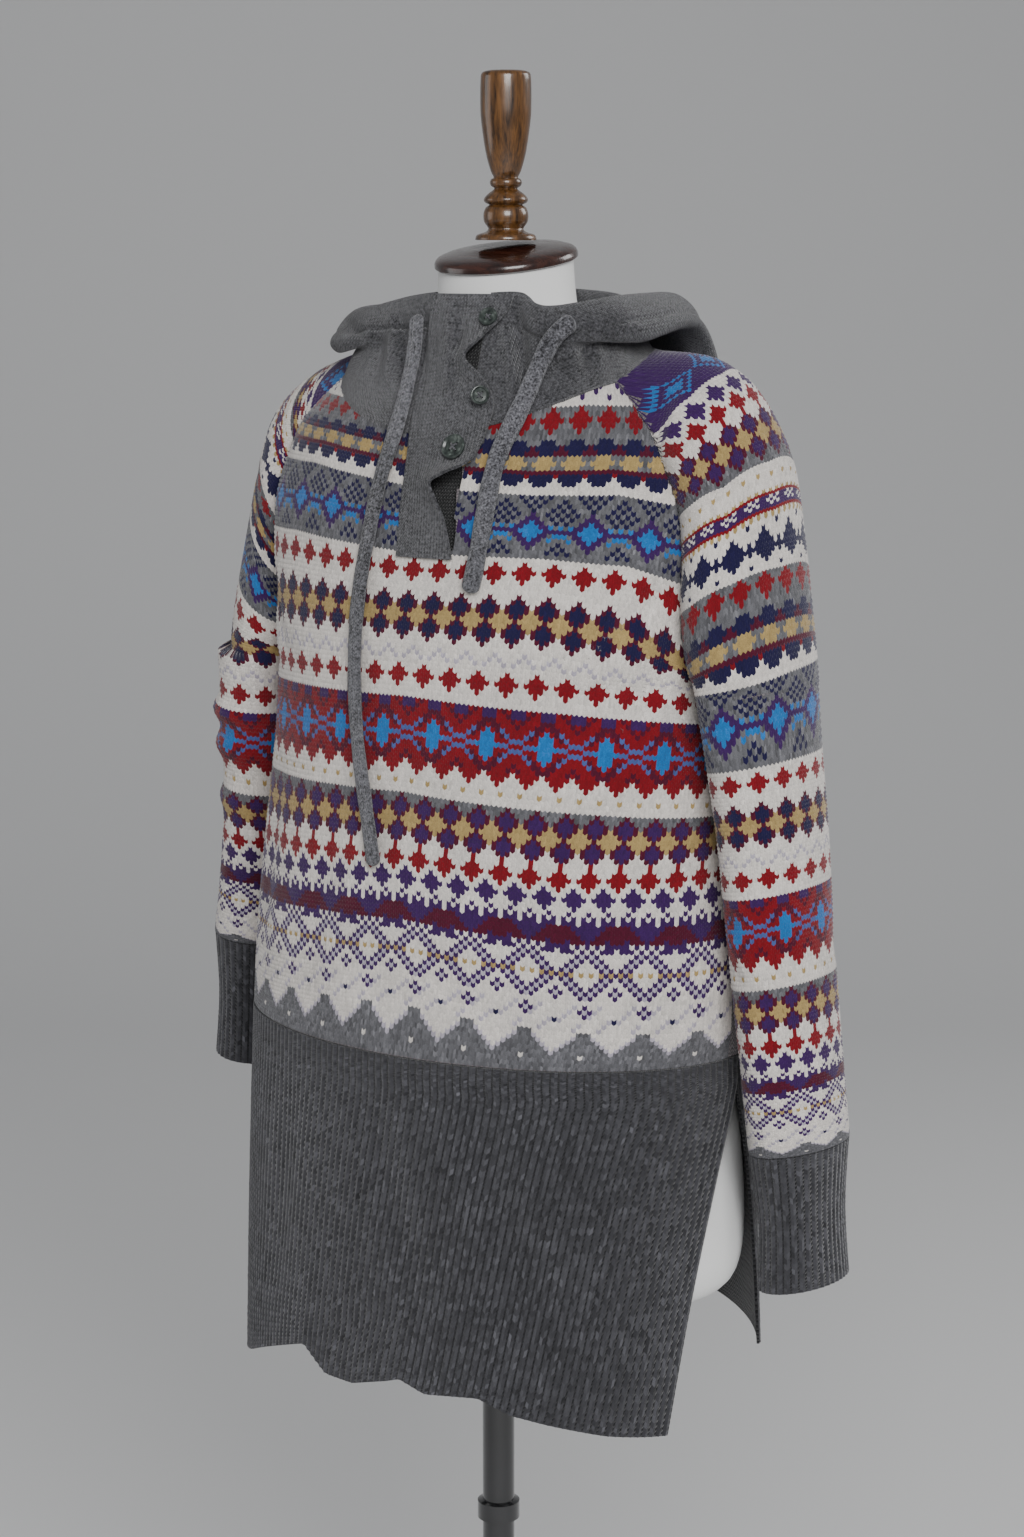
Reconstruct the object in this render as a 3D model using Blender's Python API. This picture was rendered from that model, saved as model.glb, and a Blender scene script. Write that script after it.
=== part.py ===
"""Knit hooded tunic worn by a limbless dress form on a pole and round base.

Metres, +Z up, the wearer faces -Y, so the wearer's left is +X. The origin is on the floor under the pole.
Every cloth piece is a wall built from cross-sections; neighbouring pieces stay SEAM apart along their seams.
"""
import math

import bmesh
import bpy
from mathutils import Matrix, Vector

# Driving dimensions
WALL = 0.0022            # knit cloth thickness
SEAM = 0.0003            # gap between two pieces at a seam
RIB_PITCH_COUNT = 90     # ribs across one hem panel
CUFF_RIBS = 40           # ribs round one cuff
RIB_RELIEF = 0.0011      # how far a rib stands over the furrow beside it
BODY_COLUMNS = 9         # cloth columns on each side of the placket
SLEEVE_COLUMNS = 18
RIGHT_SWING = 0.045      # the right sleeve hangs this much further back
RIGHT_SHORT = 0.735      # slack in the right sleeve: its rings stand this much closer together
RIGHT_SHOULDER_DROP = 0.014
PLACKET_LEFT, PLACKET_RIGHT = -0.008, 0.036   # notch in the front panel, seen from the front
PLACKET_BOTTOM_ROW = 3.45
NOTCH_CLEAR = 0.0012     # the under band ends this much above the foot of the notch
CORD_RADIUS = 0.0045
POLE_RADIUS = 0.0125

# Front of the body. Rows 0-7 run down the raglan seam, 7 is the underarm, later rows run down the side seam.
# side height, side x, side y, height at the middle, depth at the middle
FRONT = [
    (1.372, 0.118, -0.026, 1.335, 0.100),
    (1.340, 0.150, -0.035, 1.312, 0.105),
    (1.316, 0.163, -0.037, 1.292, 0.110),
    (1.283, 0.176, -0.037, 1.266, 0.115),
    (1.245, 0.179, -0.036, 1.235, 0.120),
    (1.205, 0.178, -0.035, 1.200, 0.123),
    (1.168, 0.181, -0.026, 1.165, 0.122),
    (1.150, 0.184, 0.000, 1.146, 0.121),
    (1.100, 0.188, 0.000, 1.095, 0.122),
    (1.045, 0.195, 0.000, 1.040, 0.126),
    (0.990, 0.202, 0.000, 0.986, 0.130),
    (0.935, 0.207, 0.000, 0.932, 0.134),
    (0.885, 0.209, 0.000, 0.884, 0.138),
]
BACK = [
    (1.392, 0.100, 0.049, 1.397, 0.086),
    (1.360, 0.135, 0.056, 1.362, 0.100),
    (1.325, 0.158, 0.058, 1.328, 0.112),
    (1.285, 0.172, 0.055, 1.287, 0.119),
    (1.245, 0.179, 0.050, 1.245, 0.121),
    (1.205, 0.180, 0.042, 1.204, 0.120),
    (1.168, 0.182, 0.026, 1.165, 0.117),
    (1.150, 0.184, 0.000, 1.146, 0.116),
    (1.100, 0.188, 0.000, 1.095, 0.112),
    (1.045, 0.195, 0.000, 1.040, 0.118),
    (0.990, 0.202, 0.000, 0.986, 0.130),
    (0.935, 0.207, 0.000, 0.932, 0.139),
    (0.885, 0.209, 0.000, 0.884, 0.146),
]
UNDERARM = 7
YOKE_ROWS = [0, 1, 2, 3, PLACKET_BOTTOM_ROW, 4, 5, 6, 7]
TRUNK_ROWS = [7.6, 8.4, 9.2, 10, 11, 12]

# Rib hems. height and place of the left edge, of the right edge, then height and depth at the middle
FRONT_HEM = [
    (0.8847, 0.209, 0.000, 0.8847, 0.209, 0.000, 0.8837, 0.138),
    (0.860, 0.209, -0.001, 0.860, 0.210, -0.001, 0.855, 0.139),
    (0.790, 0.203, -0.020, 0.792, 0.212, -0.006, 0.785, 0.143),
    (0.705, 0.194, -0.038, 0.708, 0.214, -0.010, 0.705, 0.147),
    (0.605, 0.184, -0.054, 0.612, 0.215, -0.014, 0.640, 0.152),
]
BACK_HEM = [
    (0.8847, 0.209, 0.000, 0.8847, 0.209, 0.000, 0.8837, 0.146),
    (0.860, 0.209, 0.001, 0.860, 0.210, 0.001, 0.857, 0.149),
    (0.795, 0.207, 0.022, 0.795, 0.211, 0.010, 0.790, 0.154),
    (0.720, 0.203, 0.042, 0.720, 0.213, 0.020, 0.718, 0.157),
    (0.645, 0.200, 0.056, 0.645, 0.215, 0.028, 0.655, 0.160),
]
# Uneven lower edge of the front hem. share of the way from the middle (-1 right, 1 left), rise
HEM_WAVE = [(-1.0, 0.004), (-0.78, -0.014), (-0.62, -0.010), (-0.42, 0.003), (-0.27, 0.013), (-0.19, -0.006),
            (-0.10, -0.008), (0.05, 0.004), (0.14, -0.003), (0.32, 0.004), (0.42, -0.003), (0.55, -0.004),
            (0.75, -0.004), (1.0, 0.0)]

# Sleeve. Tops of the raglan rings on the shoulder line: x, y, height, half depth of the ring
SHOULDER = [
    (0.1215, 0.012, 1.3885, 0.0395),
    (0.150, 0.014, 1.3895, 0.050),
    (0.176, 0.014, 1.385, 0.053),
    (0.205, 0.012, 1.366, 0.056),
    (0.229, 0.010, 1.325, 0.059),
    (0.241, 0.006, 1.270, 0.061),
    (0.252, 0.002, 1.205, 0.0615),
    (0.2585, 0.000, 1.158, 0.060),
]
# Closed rings from the underarm to the wrist: height, x of the middle, half width, half depth
SLEEVE = [
    (1.150, 0.2215, 0.0370, 0.0600),
    (1.100, 0.2285, 0.0345, 0.0580),
    (1.050, 0.2355, 0.0335, 0.0555),
    (1.000, 0.2405, 0.0330, 0.0535),
    (0.940, 0.2470, 0.0325, 0.0510),
    (0.880, 0.2540, 0.0325, 0.0485),
    (0.825, 0.2605, 0.0330, 0.0460),
]
SLEEVE_ROWS = [0.8, 1.6, 2.4, 3.2, 4.0, 5.0, 6.0]
NECK_OPENING = math.radians(62)
SLEEVE_TILT = 0.16       # each ring's outer side stands this much higher for each metre out
CUFF = [
    (0.8247, 0.2605, 0.0320, 0.0450),
    (0.775, 0.2635, 0.0275, 0.0400),
    (0.724, 0.2655, 0.0295, 0.0415),
]
SLACK_FOLDS = [(1.085, 0.0050), (1.045, 0.0042), (0.985, 0.0030)]  # right sleeve: height, height of the fold
SLACK_FOLD_WIDTH = 0.012
SLEEVE_LIFT = -0.004      # the inner side of a ring stands this much off its height

# Hood worn down. Each station is its angle round the neck and (radius, height) from the neck seam to the rim.
HOOD_LEFT = [
    (55, [(0.110, 1.368), (0.103, 1.382), (0.099, 1.394), (0.100, 1.403), (0.101, 1.412), (0.094, 1.425)]),
    (82, [(0.114, 1.395), (0.110, 1.405), (0.119, 1.403), (0.131, 1.399), (0.136, 1.411), (0.115, 1.432)]),
    (112, [(0.109, 1.405), (0.110, 1.416), (0.128, 1.409), (0.148, 1.400), (0.155, 1.411), (0.131, 1.434)]),
    (146, [(0.093, 1.412), (0.101, 1.426), (0.138, 1.360), (0.158, 1.293), (0.182, 1.322), (0.143, 1.434)]),
    (180, [(0.079, 1.415), (0.092, 1.429), (0.133, 1.345), (0.148, 1.268), (0.182, 1.298), (0.137, 1.436)]),
]
HOOD_RIGHT = [
    (-32, [(0.099, 1.362), (0.091, 1.380), (0.085, 1.395), (0.082, 1.405), (0.079, 1.416), (0.072, 1.430)]),
    (-62, [(0.110, 1.382), (0.103, 1.394), (0.108, 1.392), (0.118, 1.388), (0.122, 1.398), (0.100, 1.420)]),
    (-96, [(0.113, 1.402), (0.108, 1.413), (0.124, 1.407), (0.141, 1.396), (0.147, 1.404), (0.131, 1.420)]),
    (-118, [(0.107, 1.408), (0.104, 1.421), (0.129, 1.405), (0.150, 1.389), (0.161, 1.402), (0.135, 1.425)]),
    (-140, [(0.095, 1.412), (0.101, 1.425), (0.134, 1.368), (0.157, 1.300), (0.180, 1.326), (0.140, 1.430)]),
    (-180, [(0.079, 1.415), (0.092, 1.429), (0.133, 1.345), (0.148, 1.268), (0.182, 1.298), (0.137, 1.436)]),
]
HOOD_LIFT = 0.0010
NECK_OVAL, NECK_SLOPE = 1.4, 0.075   # how the cloth faces along the neck seam: share of its depth, upward part
HOOD_COLUMNS = 18
HOOD_ROWS = [6, 5.4, 4.8, 4.2, 3.6, 3, 2.3, 1.5, 0.7, 0]   # rows from the rim to the neck seam
FRONT_NECK_END, BACK_NECK_END = 75.0, 125.0   # where the raglan seams meet the neck, as places round it
FLAP_REST_X = 0.057      # the left half keeps to the oval this far, where the button band lies on it
# Front of the neck opening, an oval that narrows upwards: height, half width, depth
FUNNEL = [(1.335, 0.1222, 0.100), (1.385, 0.109, 0.084), (1.434, 0.098, 0.068)]
# Free edge of the button band: height, x of the edge, how far the edge curls off the band below
FLAP_EDGE = [
    (1.2480, 0.0370, 0.0010), (1.2620, 0.0335, 0.0020), (1.2760, 0.0290, 0.0040), (1.2900, 0.0220, 0.0070),
    (1.3020, 0.0175, 0.0100), (1.3100, 0.0270, 0.0120), (1.3200, 0.0440, 0.0080), (1.3400, 0.0500, 0.0040),
    (1.3580, 0.0510, 0.0055), (1.3740, 0.0420, 0.0090), (1.3900, 0.0270, 0.0100), (1.4050, 0.0360, 0.0060),
    (1.4200, 0.0480, 0.0030), (1.4330, 0.0510, 0.0030),
]
FLAP_COLUMNS = 5
BAND_CLEAR = 0.0004      # the button band stands this much further off the under band
# Buttons: height, x, tilt sideways in degrees, radius, how far the seat stands off the band
BUTTONS = [
    (1.4165, 0.0380, 0.0, 0.0068, 0.0009),
    (1.3630, 0.0430, 40.0, 0.0068, 0.0042),
    (1.3260, 0.0310, 0.0, 0.0092, 0.0014),
]

# Free drawstrings, from the eyelet down: x, y, z
DRAWSTRING_RIGHT = [
    (-0.0196, -0.0763, 1.4178), (-0.0169, -0.0818, 1.4031), (-0.0154, -0.0876, 1.3869), (-0.0149, -0.0940, 1.3719),
    (-0.0155, -0.0992, 1.3578), (-0.0185, -0.1054, 1.3367), (-0.0245, -0.1105, 1.3130), (-0.0291, -0.1154, 1.2889),
    (-0.0320, -0.1197, 1.2654), (-0.0351, -0.1230, 1.2424), (-0.0388, -0.1250, 1.2148), (-0.0416, -0.1252, 1.1856),
    (-0.0432, -0.1242, 1.1561), (-0.0422, -0.1241, 1.1268), (-0.0381, -0.1257, 1.0980), (-0.0320, -0.1279, 1.0693),
    (-0.0255, -0.1306, 1.0409), (-0.0212, -0.1324, 1.0224),
]
DRAWSTRING_LEFT = [
    (0.0998, -0.0528, 1.4149), (0.0933, -0.0583, 1.4097), (0.0863, -0.0617, 1.4014), (0.0820, -0.0664, 1.3901),
    (0.0794, -0.0726, 1.3777), (0.0762, -0.0800, 1.3625), (0.0728, -0.0877, 1.3480), (0.0691, -0.0949, 1.3343),
    (0.0658, -0.1011, 1.3197), (0.0640, -0.1061, 1.3045), (0.0629, -0.1100, 1.2893), (0.0618, -0.1134, 1.2740),
    (0.0604, -0.1165, 1.2586), (0.0582, -0.1194, 1.2404), (0.0551, -0.1214, 1.2255),
]

# Four-hole button: share of the radius, height over the seat
BUTTON_PROFILE = [
    (0.0, 0.0013), (0.62, 0.0013), (0.74, 0.0024), (0.92, 0.0026), (1.0, 0.0018), (0.94, 0.0002), (0.5, 0.0),
    (0.0, 0.0),
]

# Dress form: height, half width, depth to the front, depth to the back, y of the middle
FORM = [
    (0.690, 0.165, 0.100, 0.110, 0.0), (0.698, 0.188, 0.122, 0.130, 0.0), (0.716, 0.198, 0.132, 0.139, 0.0),
    (0.750, 0.2005, 0.134, 0.141, 0.0), (0.800, 0.197, 0.130, 0.140, 0.0), (0.860, 0.189, 0.124, 0.136, 0.0),
    (0.920, 0.176, 0.114, 0.125, 0.0), (0.980, 0.160, 0.102, 0.108, 0.0), (1.050, 0.146, 0.094, 0.092, 0.0),
    (1.110, 0.150, 0.102, 0.090, 0.0), (1.165, 0.160, 0.112, 0.098, 0.0), (1.215, 0.168, 0.115, 0.104, 0.0),
    (1.260, 0.170, 0.106, 0.106, 0.0), (1.300, 0.166, 0.094, 0.102, 0.002), (1.330, 0.164, 0.080, 0.088, 0.004),
    (1.352, 0.1615, 0.0712, 0.073, 0.008), (1.369, 0.1455, 0.0612, 0.062, 0.010), (1.380, 0.112, 0.051, 0.050, 0.012),
    (1.389, 0.082, 0.050, 0.047, 0.014), (1.402, 0.061, 0.050, 0.046, 0.015), (1.425, 0.053, 0.050, 0.046, 0.014),
    (1.4525, 0.0505, 0.049, 0.047, 0.012),
]
FORM_COLUMNS = 24
NECK_CUT_START = 1.402   # the form's rings tilt from here up to the neck's slanted cut
CAP_TILT = math.radians(10.0)      # the neck is cut lower at the front
CAP_CENTRE = (0.0, 0.011, 1.4530)
CAP_RADII = (0.0535, 0.0525)
CAP_THICKNESS = 0.0105
CAP_PROFILE = [(0.94, -0.5), (1.0, -0.34), (1.0, 0.0), (0.96, 0.26), (0.86, 0.42), (0.5, 0.62)]  # size, height
CAP_COLUMNS = 24
FINIAL_SEAT_RISE = 0.0050   # level seat of the finial over the cap's top
FINIAL_SEAT_RADIUS = 0.0225
# Finial, turned on the pole's line above the cap: radius, height above the cap
FINIAL = [
    (0.0, 0.1225), (0.0130, 0.1222), (0.0175, 0.1205), (0.0186, 0.1150), (0.0188, 0.0980), (0.0182, 0.0860),
    (0.0150, 0.0640), (0.0112, 0.0500), (0.0090, 0.0455), (0.0110, 0.0440), (0.0118, 0.0415), (0.0108, 0.0390),
    (0.0085, 0.0372), (0.0120, 0.0345), (0.0152, 0.0315), (0.0163, 0.0290), (0.0150, 0.0268), (0.0122, 0.0255),
    (0.0150, 0.0235), (0.0166, 0.0185), (0.0160, 0.0130), (0.0130, 0.0085), (0.0150, 0.0060), (0.0210, 0.0040),
    (0.0225, 0.0015), (0.0225, 0.0000), (0.0, 0.0000),
]
# Pole with its clamp ring and base socket, one turned piece: radius, height
POLE = [
    (0.0, 0.6897), (0.034, 0.6897), (0.034, 0.6820), (0.020, 0.6790), (0.020, 0.6500), (POLE_RADIUS, 0.6480),
    (POLE_RADIUS, 0.4960), (0.0165, 0.4945), (0.0165, 0.4810), (POLE_RADIUS, 0.4795), (POLE_RADIUS, 0.0620),
    (0.0190, 0.0600), (0.0230, 0.0320), (0.0340, 0.0253), (0.0, 0.0253),
]
BASE = [
    (0.0, 0.0250), (0.060, 0.0240), (0.120, 0.0190), (0.165, 0.0130), (0.178, 0.0095), (0.180, 0.0050),
    (0.178, 0.0), (0.0, 0.0),
]

COLOURS = {
    "cloth": ((0.55, 0.42, 0.44), 0.95, 0.0),
    "rib": ((0.13, 0.13, 0.14), 0.95, 0.0),
    "hood": ((0.14, 0.14, 0.145), 0.95, 0.0),
    "form": ((0.80, 0.80, 0.79), 0.7, 0.0),
    "wood": ((0.16, 0.06, 0.02), 0.35, 0.0),
    "cap": ((0.05, 0.018, 0.012), 0.25, 0.0),
    "metal": ((0.01, 0.01, 0.01), 0.2, 0.6),
    "button": ((0.06, 0.07, 0.06), 0.35, 0.0),
}


def material(name):
    """A plain Principled material of one of the named finishes."""
    found = bpy.data.materials.get(name)
    if found:
        return found
    made = bpy.data.materials.new(name)
    made.use_nodes = True
    colour, roughness, metallic = COLOURS[name]
    shader = made.node_tree.nodes["Principled BSDF"]
    shader.inputs["Base Color"].default_value = (*colour, 1.0)
    shader.inputs["Roughness"].default_value = roughness
    shader.inputs["Metallic"].default_value = metallic
    return made


def add_mesh(name, points, faces, finish, smooth=True):
    """Adds one named piece from its points and faces."""
    mesh = bpy.data.meshes.new(name)
    mesh.from_pydata([tuple(point) for point in points], [], faces)
    mesh.update()
    piece = bpy.data.objects.new(name, mesh)
    bpy.context.collection.objects.link(piece)
    mesh.materials.append(material(finish))
    if smooth:
        mesh.shade_smooth()
        mesh.set_sharp_from_angle(angle=math.radians(40))
    return piece


def curve_row(rows, t):
    """Reads a table between its rows on a smooth curve; t counts rows."""
    last = len(rows) - 1
    i = min(max(int(math.floor(t)), 0), last - 1)
    f = t - i
    a, b, c, d = (rows[min(max(k, 0), last)] for k in (i - 1, i, i + 1, i + 2))
    return tuple(
        0.5 * (2 * q + (r - p) * f + (2 * p - 5 * q + 4 * r - s) * f * f + (3 * q - p - 3 * r + s) * f ** 3)
        for p, q, r, s in zip(a, b, c, d))


def at_height(rows, z):
    """Reads a table whose first column is a height, at that height."""
    ordered = sorted(rows)
    z = min(max(z, ordered[0][0]), ordered[-1][0])
    for low, high in zip(ordered, ordered[1:]):
        if z <= high[0]:
            f = (z - low[0]) / (high[0] - low[0])
            return tuple(p + (q - p) * f for p, q in zip(low, high))
    return ordered[-1]


def half_section(side_x, side_y, depth):
    """Oval through a side point and the middle: its half width and the angle of the side point."""
    angle = math.acos(min(abs(side_y) / depth, 1.0))
    return side_x / math.sin(angle), angle


def body_point(row, facing, angle):
    """Point of a body row; facing is -1 for the front and 1 for the back, the angle is from the middle."""
    side_z, side_x, side_y, mid_z, depth = row
    half_width, side_angle = half_section(side_x, side_y, depth)
    share = math.sin(angle) / math.sin(side_angle)
    return Vector((half_width * math.sin(angle), facing * depth * math.cos(angle),
                   mid_z + (side_z - mid_z) * share * share))


def spread(start, end, count):
    """count + 1 evenly spaced values."""
    return [start + (end - start) * k / count for k in range(count + 1)]


def body_columns(row, facing):
    """Angles of a row's points: the front has points on both edges of the placket."""
    half_width, side_angle = half_section(row[1], row[2], row[4])
    if facing > 0:
        return spread(-side_angle, side_angle, 2 * BODY_COLUMNS + 2)
    left = math.asin(PLACKET_LEFT / half_width)
    right = math.asin(PLACKET_RIGHT / half_width)
    return (spread(-side_angle, left, BODY_COLUMNS)
            + [(left + right) / 2] + spread(right, side_angle, BODY_COLUMNS))


def body_grid(table, facing):
    """All points of the front or back, a list of rows from the neck down."""
    grid = []
    for t in YOKE_ROWS + TRUNK_ROWS:
        row = curve_row(table, t)
        grid.append([body_point(row, facing, angle) for angle in body_columns(row, facing)])
    return grid


def sleeve_grid(side):
    """Points of one sleeve; side is 1 for the left and -1 for the right. Rows run from the neck to the wrist."""
    right = side < 0
    grid = []
    for t in YOKE_ROWS:
        front = curve_row(FRONT, t)
        back = curve_row(BACK, t)
        f = Vector((front[1], front[2], front[0]))
        b = Vector((back[1], back[2], back[0]))
        x, y, z, half_depth = curve_row(SHOULDER, t)
        y += RIGHT_SWING * right * min(1.0, (t / 4) ** 1.6)
        top = Vector((x, y, z - RIGHT_SHOULDER_DROP * right * math.sin(math.pi * min(t, 5) / 5)))
        middle = (f + b) / 2
        chord = (b - f) / 2
        half = chord.length
        full = math.pi
        along = Vector((0, 1, 0))
        reach = half_depth
        if t < UNDERARM:
            full = ring_opening(t, half, half_depth)
            along = chord.normalized()
            reach = half / math.sin(full)
        out = (top - middle) / (1 - math.cos(full))
        centre = top - out
        ring = []
        for angle in spread(-full, full, SLEEVE_COLUMNS):
            ring.append(centre + out * math.cos(angle) + along * reach * math.sin(angle))
        grid.append(ring)
    for t in SLEEVE_ROWS:
        grid.append(sleeve_ring(curve_row(SLEEVE, t), right, SLEEVE_COLUMNS))
    for ring in grid:
        for point in ring:
            point.x *= side
    return grid


def ring_opening(t, half, half_depth):
    """How far a raglan ring wraps to each side of its top: little at the neck, nearly all round at the underarm."""
    wide = math.pi - math.asin(min(half / half_depth, 1.0))
    return min(NECK_OPENING + (wide - NECK_OPENING) * t / 2, wide)


def sleeve_ring(row, right, columns):
    """One closed ring of the sleeve or cuff. The right sleeve hangs further back and is pushed up."""
    z, x, half_width, half_depth = row
    top = SLEEVE[0][0]
    swing = RIGHT_SWING * right * min(1.0, 0.55 + (top - z) * 3)
    middle_swing = RIGHT_SWING * right * min(1.0, (top - z) * 4)
    bulge = 0.0
    if right:
        bulge = sum(size * math.exp(-((z - height) / SLACK_FOLD_WIDTH) ** 2) for height, size in SLACK_FOLDS)
        wrist = SLEEVE[-1][0]
        z = top - (top - z) * RIGHT_SHORT if z > wrist else top - (top - wrist) * RIGHT_SHORT - (wrist - z)
    ring = []
    for angle in spread(-math.pi, math.pi, columns):
        outer = (1 + math.cos(angle)) / 2
        ring.append(Vector((x + half_width * math.cos(angle) + bulge * outer,
                            (half_depth + bulge) * math.sin(angle) + middle_swing + (swing - middle_swing) * outer,
                            z + SLEEVE_TILT * half_width * (math.cos(angle) + 1) + SLEEVE_LIFT)))
    return ring


def neck_normal(point):
    """Direction that the cloth faces along the neck seam."""
    return Vector((point.x, point.y * NECK_OVAL, NECK_SLOPE)).normalized()


def grid_normals(grid, closed=False, flip=1):
    """Outward direction at each point of a grid of rows and columns."""
    normals = []
    rows, columns = len(grid), len(grid[0])
    for i in range(rows):
        line = []
        for j in range(columns):
            if closed:
                ahead, behind = grid[i][(j + 1) % columns], grid[i][j - 1]
            else:
                ahead, behind = grid[i][min(j + 1, columns - 1)], grid[i][max(j - 1, 0)]
            across = ahead - behind
            down = grid[min(i + 1, rows - 1)][j] - grid[max(i - 1, 0)][j]
            line.append((across.cross(down) * flip).normalized())
        normals.append(line)
    return normals


def share_seam(first, first_column, second, second_column, rows):
    """Gives two neighbouring pieces the same direction along their common seam."""
    for i in rows:
        both = (first[i][first_column] + second[i][second_column]).normalized()
        first[i][first_column] = both.copy()
        second[i][second_column] = both.copy()


def draw_in(grid, column, neighbour, amount, rows=None):
    """Moves a piece's edge back from the seam towards the piece's own next column."""
    for i in rows or range(len(grid)):
        step = grid[i][neighbour] - grid[i][column]
        grid[i][column] = grid[i][column] + step.normalized() * amount


def wall(name, grid, normals, finish, skip=None, joined_from=None, thickness=WALL):
    """Turns a grid into a closed wall. joined_from is the first row whose first and last columns are one."""
    number = {}
    outer = []
    inner = []

    def index(i, j):
        if joined_from is not None and i >= joined_from and j == len(grid[0]) - 1:
            j = 0
        if (i, j) not in number:
            number[i, j] = len(outer)
            outer.append(grid[i][j])
            inner.append(grid[i][j] - normals[i][j] * thickness)
        return number[i, j]

    faces = []
    for i in range(len(grid) - 1):
        for j in range(len(grid[0]) - 1):
            if skip and skip(i, j):
                continue
            corners = [index(i, j), index(i + 1, j), index(i + 1, j + 1), index(i, j + 1)]
            face = [c for k, c in enumerate(corners) if c != corners[k - 1]]
            faces.append(face)
    return close_wall(name, outer, inner, faces, finish)


def close_wall(name, outer, inner, faces, finish):
    """Adds the inner skin and the rim to an outer skin, faces turned outwards."""
    edges = {}
    for face in faces:
        for a, b in zip(face, face[1:] + face[:1]):
            edges[a, b] = True
    offset = len(outer)
    inside = [[c + offset for c in reversed(face)] for face in faces]
    rim = [[b, a, a + offset, b + offset] for a, b in edges if (b, a) not in edges]
    piece = add_mesh(name, outer + inner, faces + inside + rim, finish)
    face_outwards(piece)
    return piece


def face_outwards(piece):
    """Makes every face of a closed piece point outwards, and splits twisted quads along their shorter diagonal."""
    work = bmesh.new()
    work.from_mesh(piece.data)
    bmesh.ops.triangulate(work, faces=work.faces, quad_method="BEAUTY")
    bmesh.ops.recalc_face_normals(work, faces=work.faces)
    if work.calc_volume(signed=True) < 0:
        bmesh.ops.reverse_faces(work, faces=work.faces)
    work.to_mesh(piece.data)
    work.free()


def rib_wall(name, place, rows, ribs, finish, round_tube):
    """Ribbed wall: two outer columns for each rib over a plain inner skin of one column for each two ribs.

    place(row, share) gives a point and its outward direction; share runs from 0 to 1 across the piece.
    """
    outer_count = ribs * 2
    inner_count = ribs // 2
    outer_columns = outer_count if round_tube else outer_count + 1
    inner_columns = inner_count if round_tube else inner_count + 1
    points = []
    for i in rows:
        for j in range(outer_columns):
            point, normal = place(i, j / outer_count)
            points.append(point + normal * (RIB_RELIEF if j % 2 else 0.0))
    start = len(points)
    for i in rows:
        for j in range(inner_columns):
            point, normal = place(i, j / inner_count)
            points.append(point - normal * WALL)

    def out(i, j):
        return i * outer_columns + j % outer_columns

    def plain(i, j):
        return start + i * inner_columns + j % inner_columns

    last = len(rows) - 1
    faces = []
    for i in range(last):
        faces += [[out(i, j), out(i + 1, j), out(i + 1, j + 1), out(i, j + 1)] for j in range(outer_count)]
        faces += [[plain(i, j + 1), plain(i + 1, j + 1), plain(i + 1, j), plain(i, j)] for j in range(inner_count)]
    for i, turn in ((0, 1), (last, -1)):
        for j in range(inner_count):
            a = 4 * j
            strip = [[plain(i, j), out(i, a), out(i, a + 1)], [plain(i, j), out(i, a + 1), out(i, a + 2)],
                     [plain(i, j), out(i, a + 2), plain(i, j + 1)], [plain(i, j + 1), out(i, a + 2), out(i, a + 3)],
                     [plain(i, j + 1), out(i, a + 3), out(i, a + 4)]]
            faces += [face[::turn] for face in strip]
    if not round_tube:
        for i in range(last):
            faces.append([plain(i, 0), plain(i + 1, 0), out(i + 1, 0), out(i, 0)])
            faces.append([out(i, outer_count), out(i + 1, outer_count), plain(i + 1, inner_count),
                          plain(i, inner_count)])
    piece = add_mesh(name, points, faces, finish)
    face_outwards(piece)
    return piece


def table_value(rows, at):
    """Straight reading of a two-column table."""
    for low, high in zip(rows, rows[1:]):
        if at <= high[0]:
            return low[1] + (high[1] - low[1]) * (at - low[0]) / (high[0] - low[0])
    return rows[-1][1]


def hem_point(table, facing, t, share):
    """Point of a rib hem panel; share runs from the right edge to the left one."""
    left_z, left_x, left_y, right_z, right_x, right_y, mid_z, depth = curve_row(table, t)
    left_half, left_angle = half_section(left_x, left_y, depth)
    right_half, right_angle = half_section(right_x, right_y, depth)
    angle = -right_angle + (left_angle + right_angle) * share
    half_width, side_angle, side_z = ((left_half, left_angle, left_z) if angle > 0
                                      else (right_half, right_angle, right_z))
    across = math.sin(angle) / math.sin(side_angle)
    z = mid_z + (side_z - mid_z) * across * across
    if facing < 0:
        low = max(0.0, t - 2.4) / (len(table) - 3.4)
        z += table_value(HEM_WAVE, angle / side_angle) * low * low
    return Vector((half_width * math.sin(angle), facing * depth * math.cos(angle), z))


def make_hem(name, table, facing):
    """One rib hem panel."""
    def place(t, share):
        step = 0.004
        a, b = max(share - step, 0.0), min(share + step, 1.0)
        across = hem_point(table, facing, t, b) - hem_point(table, facing, t, a)
        down = hem_point(table, facing, min(t + step, 4), share) - hem_point(table, facing, max(t - step, 0), share)
        normal = across.cross(down).normalized() * (1 if facing < 0 else -1)
        point = hem_point(table, facing, t, share)
        edge = SEAM / 2 if share in (0.0, 1.0) and t < 1.5 else 0.0
        point.y += facing * edge
        return point, -normal if normal.dot(Vector((point.x, point.y * 2, 0))) < 0 else normal

    return rib_wall(name, place, range(len(table)), RIB_PITCH_COUNT, "rib", False)


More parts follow.
